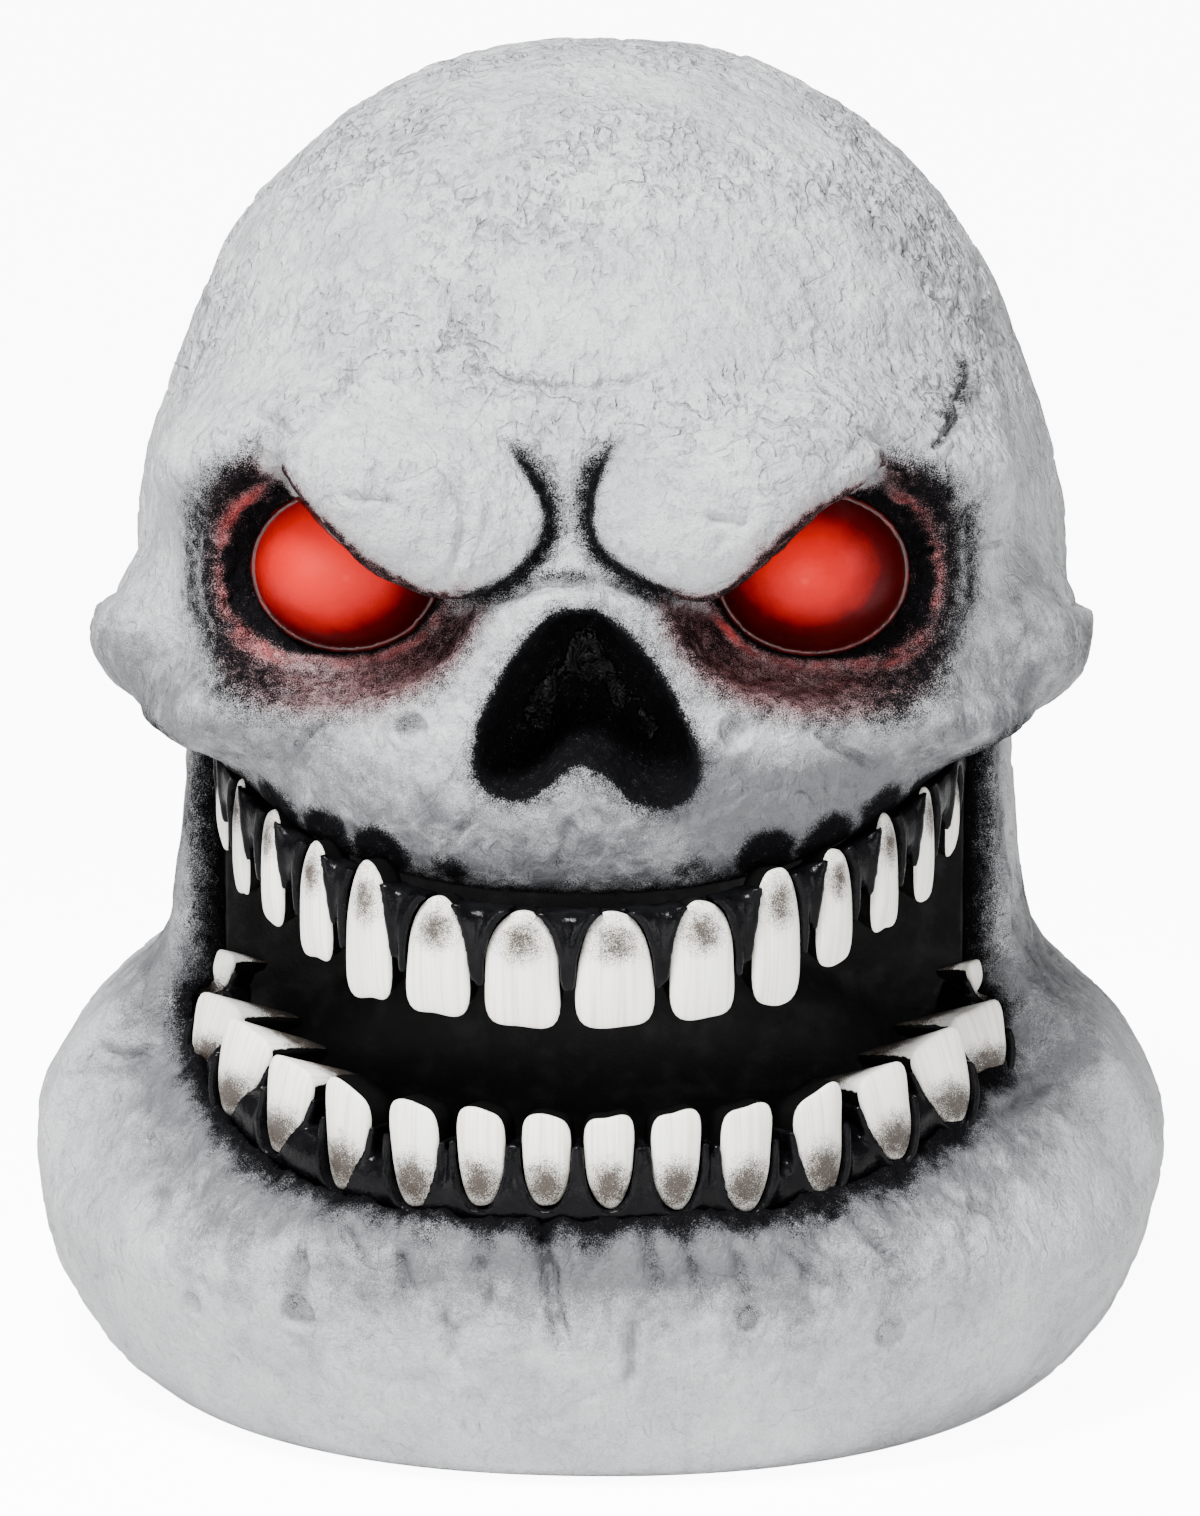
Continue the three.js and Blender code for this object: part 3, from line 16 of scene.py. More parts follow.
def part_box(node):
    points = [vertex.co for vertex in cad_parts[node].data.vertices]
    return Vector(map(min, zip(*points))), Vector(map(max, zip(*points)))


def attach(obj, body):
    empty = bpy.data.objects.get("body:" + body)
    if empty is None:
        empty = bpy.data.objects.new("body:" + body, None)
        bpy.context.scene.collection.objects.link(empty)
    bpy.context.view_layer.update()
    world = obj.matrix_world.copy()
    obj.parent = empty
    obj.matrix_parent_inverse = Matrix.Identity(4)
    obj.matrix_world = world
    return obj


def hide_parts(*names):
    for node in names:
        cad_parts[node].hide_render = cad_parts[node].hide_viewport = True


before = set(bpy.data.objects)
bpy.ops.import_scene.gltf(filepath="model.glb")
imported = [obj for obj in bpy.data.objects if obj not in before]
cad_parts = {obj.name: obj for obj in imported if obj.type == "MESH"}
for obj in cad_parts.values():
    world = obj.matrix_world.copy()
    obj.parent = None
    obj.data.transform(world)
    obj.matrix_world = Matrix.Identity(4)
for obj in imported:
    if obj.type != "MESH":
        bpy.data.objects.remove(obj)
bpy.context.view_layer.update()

MM = 0.001
SIDES = (("left", -1), ("right", 1))

# Camera: where the picture is taken from, and how its pixels map onto the object.
PICTURE = (1200, 1516)
CAMERA_DISTANCE = 2000.0
CAMERA_TARGET = np.array([0.0, 0.0, 227.0])
CAMERA_YAW = math.radians(3)
CAMERA_PITCH = math.radians(10)
CAMERA_LENS = 124.1
CAMERA_FOCUS = 5225.0
MM_PER_PIXEL = CAMERA_DISTANCE / CAMERA_FOCUS

BACKWARD = np.array([
    math.sin(CAMERA_YAW) * math.cos(CAMERA_PITCH),
    -math.cos(CAMERA_YAW) * math.cos(CAMERA_PITCH),
    math.sin(CAMERA_PITCH),
])
RIGHTWARD = np.array([math.cos(CAMERA_YAW), math.sin(CAMERA_YAW), 0.0])
UPWARD = np.cross(RIGHTWARD, -BACKWARD)
EYE = CAMERA_TARGET + CAMERA_DISTANCE * BACKWARD

# Head and lower body, as in the solids.
CRANIUM = np.array([166.0, 182.0, 179.0])
CRANIUM_CENTRE = np.array([0.0, 6.0, 321.0])
GUM_LINE, GUM_LINE_RISE = 210.0, 38.0
RIM, RIM_RISE = 104.0, 42.0
UPPER_ARCH = (137.0, 149.0, -60.0)
LOWER_ARCH = (150.0, 185.0, -20.0)
JAW = (216.0, 214.0, 285.0)
SEAM_Y = 12.74
GAP = 0.3

# Centre, radii (shares of the cranium), power, tilt in degrees, blend in mm.
HEAD_MASSES = [
    ((0, 0, 0), (1, 1, 1), 2.14, 0, 0),
    ((0.6, -0.14, -0.05), (0.4, 0.52, 0.34), 2.2, -12, 40),
    ((0, -0.48, 0.05), (0.78, 0.57, 0.47), 2.3, 0, 36),
    ((0, -0.51, -0.09), (0.83, 0.56, 0.39), 2.8, 0, 30),
    ((0, -0.37, -0.35), (0.8, 0.79, 0.45), 2.3, 0, 16),
    ((0.87, -0.37, -0.175), (0.245, 0.34, 0.172), 2.2, 4, 14),
    ((0.59, -0.65, -0.25), (0.375, 0.34, 0.125), 2, 14, 16),
    ((0.66, -0.67, 0.23), (0.265, 0.25, 0.095), 2, 16, 26),
]
TEMPLE_HOLLOW = ((1.14, -0.5, 0.14), (0.1, 0.16, 0.22), 2, 12, 25)
SOCKET = ((0.54, -1.065, -0.005), (0.337, 0.286, 0.24), 2.2, 6, 6)
BRIDGE = ((0, -0.965, -0.14), (0.18, 0.197, 0.19), 2, 0, 16)
BROW = ((0.335, -0.895, 0.145), (0.331, 0.253, 0.168), 2.4, -25)
NOSE = [
    ((0.018, -1.21, -0.124), (0.068, 0.275, 0.072), 2.6, 0, 0),
    ((0.03, -1.21, -0.2), (0.13, 0.275, 0.11), 2.2, 0, 12),
    ((-0.078, -1.21, -0.263), (0.09, 0.275, 0.145), 2.2, 27, 12),
    ((0.145, -1.21, -0.279), (0.09, 0.275, 0.15), 2.2, -30, 12),
]
LENS_CENTRE = CRANIUM_CENTRE + np.array([0.482, -0.747, -0.01]) * CRANIUM
LENS_RADII = (37.0, 36.0, 32.0)
BODY_STATIONS = np.array([
    (-0.14, 0.56, 0.65, 0.6), (0, 0.806, 0.88, 0.84), (0.09, 0.921, 0.95, 0.92),
    (0.21, 0.986, 0.995, 0.985), (0.333, 1, 1, 0.995), (0.456, 0.917, 0.958, 0.92),
    (0.561, 0.778, 0.897, 0.84), (0.7, 0.736, 0.841, 0.77), (0.877, 0.718, 0.771, 0.73),
    (1.05, 0.694, 0.7, 0.7),
])
BODY_POWER = 2.15

# The openings of the eyes in the picture, whose tops are the undersides of the brow lobes.
EYE_OPENINGS = [
    [(458, 606), (430, 595), (400, 582), (370, 562), (330, 531), (300, 494), (280, 474), (230, 462),
     (165, 510), (165, 640), (260, 695), (400, 690), (462, 640)],
    [(698, 608), (712, 598), (735, 578), (770, 544), (800, 518), (830, 497), (872, 476), (930, 466),
     (990, 520), (985, 640), (900, 705), (760, 695), (696, 640)],
]

# Teeth from the middle outwards: across (share of the arch), width, length, lift of the root, lean.
UPPER_TEETH = [
    (0.117, 28, 41, 0, 0), (0.336, 25, 41.8, 2.9, 0), (0.522, 20.5, 48.8, 12.3, 0),
    (0.668, 17.5, 41.8, 16, 0), (0.796, 16, 41.8, 24.2, 0), (0.898, 15, 41.8, 29.9, 0),
    (0.971, 13, 32.8, 32, 0),
]
LOWER_TEETH = [
    (0.073, 18, 33, 0, 0.05), (0.227, 18.5, 35.4, -1.4, 0.05), (0.387, 20.5, 38.4, -4.4, 0.06),
    (0.547, 23, 39.1, -3.4, 0.05), (0.707, 25.2, 34.6, 3.4, 0.0), (0.847, 27, 33.9, 8.9, -0.05),
    (0.947, 27, 27.8, 17, -0.05), (0.987, 24.3, 20.1, 38.1, 0.0),
]
TOOTH_STAND_OUT = 2.0
UPPER_THICKNESS, LOWER_THICKNESS = 13.0, 14.0
LOWER_SHIFT = 3.0


# Distance fields, in mm, negative inside.
def turned(p, degrees):
    if not degrees:
        return p
    c, s = math.cos(math.radians(degrees)), math.sin(math.radians(degrees))
    x, z = p[:, 0] * c + p[:, 2] * s, p[:, 2] * c - p[:, 0] * s
    return np.stack([x, p[:, 1], z], 1)


def mass(p, centre, radii, power, tilt=0, growth=0.0):
    """Distance to a rounded mass, negative inside. Power 2 is an ellipsoid, more is boxier."""
    r = np.asarray(radii, np.float32) + np.float32(growth)
    q = np.abs(turned(p - np.asarray(centre, np.float32), -tilt)) / r
    qn = q if power == 2 else q ** (power - 1)
    s = (qn * q).sum(1) + 1e-12
    k0 = s ** (1 / power)
    k1 = k0 ** (1 - power) * np.sqrt(((qn / r) ** 2).sum(1)) + 1e-9
    return (k0 - 1) / k1


def placed(p, share, growth=0.0):
    centre = CRANIUM_CENTRE + np.array(share[0]) * CRANIUM
    return mass(p, centre, np.array(share[1]) * CRANIUM, share[2], share[3], growth)


def join(a, b, blend):
    blend = np.maximum(blend, 1e-3)
    h = np.clip(0.5 + 0.5 * (b - a) / blend, 0, 1)
    return b + (a - b) * h - blend * h * (1 - h)


def cut(a, b, blend):
    return -join(-a, b, blend)


def mirrored(p):
    q = p.copy()
    q[:, 0] = np.abs(q[:, 0])
    return q


def step(low, high, value):
    t = np.clip((value - low) / (high - low), 0, 1)
    return t * t * (3 - 2 * t)


def fall(distance, reach, power=2):
    """1 at no distance, and next to nothing at twice the reach. A higher power gives a flatter top."""
    return np.exp(-(distance / reach) ** power)


def gum_line(x):
    return GUM_LINE + GUM_LINE_RISE * np.minimum(np.abs(x) / UPPER_ARCH[0], 1.1) ** 2.4


def nose_field(p):
    d = None
    for share in NOSE:
        own = placed(p, share)
        d = own if d is None else join(d, own, share[4])
    return d


def socket_field(p):
    return placed(mirrored(p), SOCKET)


def eye_opening(p):
    """How far inside the eyes' openings points lie, as the camera sees them, in mm."""
    reach = np.full(len(p), -9.0)
    across = np.abs(p[:, 0])
    near_eyes = (p[:, 1] < -100) & (np.abs(p[:, 2] - 322) < 50) & (across > 20) & (across < 160)
    for side, outline in zip((-1, 1), EYE_OPENINGS):
        which = np.nonzero(near_eyes & (side * p[:, 0] > 0))[0]
        if len(which):
            reach[which] = np.maximum(inside_outline(in_picture(p[which]), outline, 1), -9)
    return reach


def brow_field(p):
    return cut(placed(mirrored(p), BROW), -eye_opening(p), 2)


def head_field(p):
    q = mirrored(p)
    d = placed(q, HEAD_MASSES[0])
    for share in HEAD_MASSES[1:]:
        d = join(d, placed(q, share), share[4])
    d = cut(d, placed(q, TEMPLE_HOLLOW), TEMPLE_HOLLOW[4])
    d = cut(d, placed(q, SOCKET), SOCKET[4])
    d = join(d, placed(q, BRIDGE), BRIDGE[4])
    d = join(d, brow_field(p), 2.5 + 14 * step(346, 372, q[:, 2]))
    d = -join(-d, -(gum_line(q[:, 0]) - q[:, 2]) * 0.85, 5)
    return cut(d, nose_field(p), 4)


def along_stations(z, column):
    xs, ys = BODY_STATIONS[:, 0], BODY_STATIONS[:, column]
    slopes = np.empty(len(xs))
    slopes[1:-1] = (ys[2:] - ys[:-2]) / (xs[2:] - xs[:-2])
    slopes[0] = (ys[1] - ys[0]) / (xs[1] - xs[0])
    slopes[-1] = (ys[-1] - ys[-2]) / (xs[-1] - xs[-2])
    at = np.clip(z / JAW[2], xs[0], xs[-1])
    i = np.clip(np.searchsorted(xs, at) - 1, 0, len(xs) - 2)
    h = xs[i + 1] - xs[i]
    t = (at - xs[i]) / h
    return ((2 * t ** 3 - 3 * t ** 2 + 1) * ys[i] + (t ** 3 - 2 * t ** 2 + t) * h * slopes[i]
            + (3 * t ** 2 - 2 * t ** 3) * ys[i + 1] + (t ** 3 - t ** 2) * h * slopes[i + 1])


def column_field(p):
    x, y, z = p.T
    half = JAW[0] * along_stations(z, 1)
    reach = JAW[1] * np.where(y < 0, along_stations(z, 2), along_stations(z, 3))
    qx, qy = np.abs(x) / half, np.abs(y) / reach
    n = BODY_POWER
    k0 = (qx ** n + qy ** n + 1e-12) ** (1 / n)
    k1 = k0 ** (1 - n) * np.hypot(qx ** (n - 1) / half, qy ** (n - 1) / reach) + 1e-9
    d = (k0 - 1) / k1 * 0.9
    d = -join(-d, JAW[2] - z, 8)
    return -join(-d, z, 6)


def rim_line(y):
    return RIM + RIM_RISE * np.clip((y + 205) / 164.8, 0, 1.3) ** 1.7


def arch_field(x, y, arch):
    a, b, middle = arch
    k0 = np.hypot(x / a, (y - middle) / b) + 1e-6
    k1 = np.hypot(x / a ** 2, (y - middle) / b ** 2) + 1e-9
    return k0 * (k0 - 1) / k1


def mouth_field(p):
    """The air of the open mouth, in front of its back wall."""
    x, y, z = p.T
    out = arch_field(x, np.minimum(y, LOWER_ARCH[2]), LOWER_ARCH) - 3.25
    drop = (out + np.hypot(out, 13)) / 2 - 4.3
    below = (rim_line(y) - 0.95 * drop - z) * 0.72
    back = JAW[1] * (-0.01 - 0.28 * np.minimum(np.abs(x) / LOWER_ARCH[0], 1) ** 2)
    return -join(-below, -(y - back), 14)


def dish_field(p):
    return mass(p, (0, -90, 132), (118, 88, 44), 2.4)


def body_field(p):
    d = cut(column_field(p), mouth_field(p), 8)
    return cut(d, dish_field(p), 8)


# Noise, and lines drawn on the skin.
def lattice(p, seed):
    """Smooth noise from -1 to 1."""
    i = np.floor(p).astype(np.int64)
    f = (p - i).astype(np.float32)
    u = f * f * f * (f * (f * 6 - 15) + 10)
    total = np.zeros(len(p), np.float32)
    for dx in (0, 1):
        for dy in (0, 1):
            for dz in (0, 1):
                h = (i[:, 0] + dx) * 374761393 + (i[:, 1] + dy) * 668265263 + (i[:, 2] + dz) * 2147483647
                h = (h + seed * 974711) & 0xFFFFFFFF
                h = ((h ^ (h >> 13)) * 1274126177) & 0xFFFFFFFF
                h = h ^ (h >> 16)
                value = (h & 0xFFFF).astype(np.float32) / 32767.5 - 1
                wx = u[:, 0] if dx else 1 - u[:, 0]
                wy = u[:, 1] if dy else 1 - u[:, 1]
                wz = u[:, 2] if dz else 1 - u[:, 2]
                total += value * wx * wy * wz
    return total


def fractal(p, size, octaves=3, seed=1):
    total, scale, weight = np.zeros(len(p), np.float32), 1.0 / size, 1.0
    for octave in range(octaves):
        total += weight * lattice(p * scale + 17.3 * octave, seed + octave)
        scale, weight = scale * 2.03, weight * 0.5
    return total / (2 - 0.5 ** (octaves - 1))


# Rays from the camera: from and to which distance in mm, in how many steps, each a share of the field.
RAY_START, RAY_END, RAY_STEPS, RAY_SHARE = 1650.0, 2300, 90, 0.8


def on_skin(field, pixels):
    """Where the rays through these picture points meet a field's surface."""
    pixels = np.asarray(pixels, float)
    way = (-BACKWARD + RIGHTWARD * ((pixels[:, :1] - PICTURE[0] / 2) / CAMERA_FOCUS)
           - UPWARD * ((pixels[:, 1:] - PICTURE[1] / 2) / CAMERA_FOCUS))
    way /= np.linalg.norm(way, axis=1, keepdims=True)
    t = np.full(len(way), RAY_START)
    for _ in range(RAY_STEPS):
        t = np.minimum(t + RAY_SHARE * field(EYE + way * t[:, None]), RAY_END)
    return EYE + way * t[:, None]


def in_picture(p):
    """Where points fall in the picture, in its pixels."""
    away = p - EYE
    scale = -CAMERA_FOCUS / (away @ BACKWARD)
    return np.stack([PICTURE[0] / 2 + scale * (away @ RIGHTWARD),
                     PICTURE[1] / 2 - scale * (away @ UPWARD)], 1)


def inside_outline(place, outline, rounds=2):
    """How far picture points lie inside a closed outline, in mm, negative outside."""
    path = smoothed(outline + outline[:1], rounds)
    best, inside = np.full(len(place), 1e9), np.zeros(len(place), bool)
    for a, b in zip(path[:-1], path[1:]):
        ab = b - a
        t = np.clip((place - a) @ ab / (ab @ ab + 1e-9), 0, 1)
        best = np.minimum(best, np.linalg.norm(place - a - t[:, None] * ab, axis=1))
        crosses = (a[1] > place[:, 1]) != (b[1] > place[:, 1])
        inside ^= crosses & (place[:, 0] < a[0] + (place[:, 1] - a[1]) / (ab[1] + 1e-12) * ab[0])
    return np.where(inside, best, -best) * MM_PER_PIXEL


def line_distance(p, path):
    """Distance to a line of points, and how far along it the nearest place is, from 0 to 1."""
    best, along = np.full(len(p), 1e9), np.zeros(len(p))
    lengths = np.linalg.norm(np.diff(path, axis=0), axis=1)
    total, run = lengths.sum() + 1e-9, 0.0
    for a, b, length in zip(path[:-1], path[1:], lengths):
        ab = b - a
        t = np.clip((p - a) @ ab / (ab @ ab + 1e-9), 0, 1)
        d = np.linalg.norm(p - a - t[:, None] * ab, axis=1)
        near = d < best
        best = np.where(near, d, best)
        along = np.where(near, (run + t * length) / total, along)
        run += length
    return best, along


def smoothed(path, times=2):
    path = np.asarray(path, float)
    for _ in range(times):
        inner = np.empty((2 * (len(path) - 1), path.shape[1]))
        inner[0::2] = 0.75 * path[:-1] + 0.25 * path[1:]
        inner[1::2] = 0.25 * path[:-1] + 0.75 * path[1:]
        path = np.concatenate([path[:1], inner, path[-1:]])
    return path


def near(p, path, reach):
    low, high = path.min(0) - reach, path.max(0) + reach
    return np.nonzero(((p > low) & (p < high)).all(1))[0]


# Surfaces from fields. A net is read in blocks of cells, so many blocks at a time.
BLOCK_CELLS, BLOCKS_AT_ONCE, NEAR_SURFACE = 6, 1500, 1.35


def net(field, low, high, size):
    """Surface nets: the field is read on a grid, finely only near its surface, and each grid cell
    that the surface crosses gives one point. Returns points and four-sided faces."""
    low, high = np.array(low, float), np.array(high, float)
    block = BLOCK_CELLS
    blocks = np.ceil((high - low) / size / block).astype(int)
    index = np.stack(np.meshgrid(*[np.arange(n) for n in blocks], indexing="ij"), -1).reshape(-1, 3)
    middle = field((low + (index + 0.5) * block * size).astype(np.float32))
    count = blocks * block + 1
    values = np.empty(count, np.float32)
    for corner, sign in zip(index * block, np.where(middle < 0, -1.0, 1.0)):
        x, y, z = corner
        values[x:x + block + 1, y:y + block + 1, z:z + block + 1] = sign
    close = index[np.abs(middle) < block * size * NEAR_SURFACE]
    local = np.stack(np.meshgrid(*[np.arange(block + 1)] * 3, indexing="ij"), -1).reshape(-1, 3)
    for start in range(0, len(close), BLOCKS_AT_ONCE):
        batch = close[start:start + BLOCKS_AT_ONCE]
        at = (batch[:, None] * block + local[None]).reshape(-1, 3)
        values[at[:, 0], at[:, 1], at[:, 2]] = field((low + at * size).astype(np.float32))
    cells = np.array(count) - 1
    ids, places, corners = [], [], []
    for axis in range(3):
        b, c = (axis + 1) % 3, (axis + 2) % 3
        first = np.take(values, range(0, count[axis] - 1), axis)
        second = np.take(values, range(1, count[axis]), axis)
        edges = np.argwhere((first < 0) != (second < 0))
        edges = edges[((edges[:, [b, c]] > 0) & (edges[:, [b, c]] < cells[[b, c]])).all(1)]
        v0 = first[edges[:, 0], edges[:, 1], edges[:, 2]]
        v1 = second[edges[:, 0], edges[:, 1], edges[:, 2]]
        place = edges.astype(float)
        place[:, axis] += v0 / (v0 - v1)
        around = []
        for db, dc in ((-1, -1), (0, -1), (0, 0), (-1, 0)):
            cell = edges.copy()
            cell[:, b] += db
            cell[:, c] += dc
            around.append((cell[:, 0] * cells[1] + cell[:, 1]) * cells[2] + cell[:, 2])
        quad = np.stack(around, 1)
        quad[v0 > 0] = quad[v0 > 0][:, ::-1]
        corners.append(quad)
        ids.append(quad.reshape(-1))
        places.append(np.repeat(place, 4, axis=0))
    ids, places = np.concatenate(ids), np.concatenate(places)
    used, inverse = np.unique(ids, return_inverse=True)
    weight = np.bincount(inverse)
    points = np.stack([np.bincount(inverse, places[:, k]) / weight for k in range(3)], 1)
    faces = np.searchsorted(used, np.concatenate(corners))
    return low + points * size, faces


def gradient(field, p, reach=0.4):
    p = p.astype(np.float32)
    sides = []
    for k in range(3):
        shift = np.zeros(3, np.float32)
        shift[k] = reach
        sides.append(field(p + shift) - field(p - shift))
    return np.stack(sides, 1) / (2 * reach)


def settled(field, points, size, times=2):
    """Moves the points onto the field's surface."""
    for _ in range(times):
        g = gradient(field, points)
        length = (g * g).sum(1) + 1e-6
        move = np.clip(field(points.astype(np.float32)) / length, -size, size)
        points = points - 0.9 * move[:, None] * g
    return points


def outward(points, faces):
    a, b, c, d = (points[faces[:, k]] for k in range(4))
    n = np.cross(c - a, d - b)
    total = np.zeros_like(points)
    for k in range(4):
        np.add.at(total, faces[:, k], n)
    return total / (np.linalg.norm(total, axis=1, keepdims=True) + 1e-9)


# Blender objects.
def linked(name, data):
    obj = bpy.data.objects.new(name, data)
    bpy.context.scene.collection.objects.link(obj)
    return obj


def enrolled(piece, body, nodes, slot):
    """Says which body a piece rides on and which solids it stands for; what it is made of, the slot, is not
    used.
    """
    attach(piece, body)
    if nodes:
        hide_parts(*nodes)
    return piece


def mesh_object(name, points, faces, finish, nodes, slot, values=None):
    """A piece of the housing, from points in mm. values are numbers per point that materials read."""
    mesh = bpy.data.meshes.new(name)
    sizes = np.array([len(face) for face in faces])
    flat = faces.reshape(-1) if isinstance(faces, np.ndarray) else np.concatenate(faces)
    mesh.vertices.add(len(points))
    mesh.vertices.foreach_set("co", (np.asarray(points) * MM).astype(np.float32).reshape(-1))
    mesh.loops.add(len(flat))
    mesh.loops.foreach_set("vertex_index", flat.astype(np.int32))
    mesh.polygons.add(len(sizes))
    mesh.polygons.foreach_set("loop_start", (np.cumsum(sizes) - sizes).astype(np.int32))
    mesh.polygons.foreach_set("use_smooth", np.ones(len(sizes), bool))
    for key, value in (values or {}).items():
        layer = mesh.attributes.new(key, "FLOAT", "POINT")
        layer.data.foreach_set("value", np.asarray(value, np.float32))
    mesh.update(calc_edges=True)
    mesh.validate()
    mesh.materials.append(finish)
    return enrolled(linked(name, mesh), "housing", nodes, slot)


class Tree:
    """Short calls that add nodes to a material, to a shader group or to a geometry group."""

    def __init__(self, tree, kind="ShaderNode"):
        self.tree, self.kind = tree, kind

    def feed(self, socket, value):
        if isinstance(value, bpy.types.NodeSocket):
            self.tree.links.new(value, socket)
        else:
            socket.default_value = value

    def add(self, kind, inputs=(), **settings):
        node = self.tree.nodes.new(kind if kind.startswith("ShaderNode") else self.kind + kind)
        for key, value in settings.items():
            setattr(node, key, value)
        for key, value in dict(inputs).items():
            self.feed(node.inputs[key], value)
        return node

    def place(self, group, inputs):
        return self.add("Group", inputs, node_tree=group).outputs

    def math(self, operation, a, b=0.0, c=0.0):
        return self.add("ShaderNodeMath", {0: a, 1: b, 2: c}, operation=operation).outputs[0]

    def times(self, a, b, plus=None):
        """a times b, plus a third value where one is given."""
        if plus is None:
            return self.math("MULTIPLY", a, b)
        return self.math("MULTIPLY_ADD", a, b, plus)

    def vector(self, x=0.0, y=0.0, z=0.0):
        return self.add("ShaderNodeCombineXYZ", {0: x, 1: y, 2: z}).outputs[0]

    def between(self, value, low, high):
        """A smooth step: 0 at the low level, 1 at the high one."""
        levels = {"Value": value, "From Min": low, "From Max": high}
        return self.add("MapRange", levels, interpolation_type="SMOOTHSTEP").outputs["Result"]

    def blend(self, factor, a, b):
        return self.add("Mix", {0: factor, 6: a, 7: b}, data_type="RGBA").outputs[2]

    def tone(self, value, low, high, a, b):
        """From one colour to another while a value goes from its low level to its high one."""
        return self.blend(self.between(value, low, high), a, b)

    def where(self):
        return self.add("TexCoord").outputs["Object"]

    def texture(self, where, scale, detail=2.0, roughness=0.5, distortion=0.0):
        inputs = {"Vector": where, "Scale": scale, "Detail": detail, "Roughness": roughness,
                  "Distortion": distortion}
        return self.add("TexNoise", inputs).outputs["Fac"]

    def noise(self, where, size, *settings):
        """Noise with features of a size in mm, mostly from 0.3 to 0.7."""
        return self.texture(where, 1 / (size * MM), *settings)

    def value_of(self, name):
        return self.add("Attribute", attribute_name=name).outputs["Fac"]

    def bump(self, height, depth, normal=None):
        """A bump of a depth in mm."""
        inputs = {"Height": height, "Distance": depth * MM, "Strength": 1.0}
        if normal is not None:
            inputs["Normal"] = normal
        return self.add("Bump", inputs).outputs["Normal"]

    def shape(self, kind, inputs, output="Mesh"):
        return self.add(kind, inputs).outputs[output]

    def moved(self, geometry, **move):
        return self.shape("Transform", {"Geometry": geometry, **move}, "Geometry")

    def repeated(self, points, instance):
        return self.shape("InstanceOnPoints", {"Points": points, "Instance": instance}, "Instances")


def node_group(name, inputs, outputs, kind="ShaderNode"):
    tree = bpy.data.node_groups.new(name, kind + "Tree")
    for label, sort, default in inputs:
        socket = tree.interface.new_socket(label, in_out="INPUT", socket_type="NodeSocket" + sort)
        if default is not None:
            socket.default_value = default
    for label, sort in outputs:
        tree.interface.new_socket(label, in_out="OUTPUT", socket_type="NodeSocket" + sort)
    start, end = tree.nodes.new("NodeGroupInput"), tree.nodes.new("NodeGroupOutput")
    return tree, Tree(tree, kind), start.outputs, end.inputs


def material(name):
    made = bpy.data.materials.new(name)
    made.use_nodes = True
    return made, Tree(made.node_tree), made.node_tree.nodes["Principled BSDF"].inputs


# Finishes that more than one material uses.
def airbrush_group():
    """Sprayed paint, and the painted shade that shares its masks: solid where the mask is full, and single
    specks where it runs out.
    """
    group, t, given, out = node_group(
        "airbrush", [("Where", "Vector", None), ("Mask", "Float", 0.0), ("Speck", "Float", 1.0)],
        [("Cover", "Float")])
    fine = t.texture(given["Where"], 2300.0, 1.0)
    coarse = t.texture(given["Where"], 260.0)
    mixed = t.times(coarse, 0.3, t.times(fine, 0.7))
    spread = t.times(t.between(given["Mask"], 0.0, 0.3), given["Speck"])
    moved = t.times(t.math("SUBTRACT", mixed, 0.5), t.times(spread, 1.9), given["Mask"])
    t.feed(out["Cover"], t.between(moved, 0.06, 0.8))
    return group


def moulded_group():
    """The fine orange peel of moulded plastic."""
    group, t, given, out = node_group("moulded", [("Where", "Vector", None)], [("Height", "Float")])
    peel = t.texture(given["Where"], 520.0, 3.0)
    grain = t.texture(given["Where"], 1500.0, 1.0)
    t.feed(out["Height"], t.times(grain, 0.45, peel))
    return group


AIRBRUSH = airbrush_group()
MOULDED = moulded_group()


def sprayed_on(t, where, mask, speck=1.0):
    return t.place(AIRBRUSH, {"Where": where, "Mask": t.value_of(mask), "Speck": speck})["Cover"]


def peeled(t, shader, where, depth, below=None):
    """Gives a shader the moulded peel, of a depth in mm, over another relief."""
    t.feed(shader["Normal"], t.bump(t.place(MOULDED, {"Where": where})["Height"], depth, below))


def crossing_lines(t, where, size, detail, bend, width):
    """Thin wandering lines, 1 on the line: where a bent noise passes its middle level."""
    off = t.math("ABSOLUTE", t.math("SUBTRACT", t.noise(where, size, detail, 0.5, bend), 0.5))
    return t.math("SUBTRACT", 1.0, t.between(off, 0.0, width))


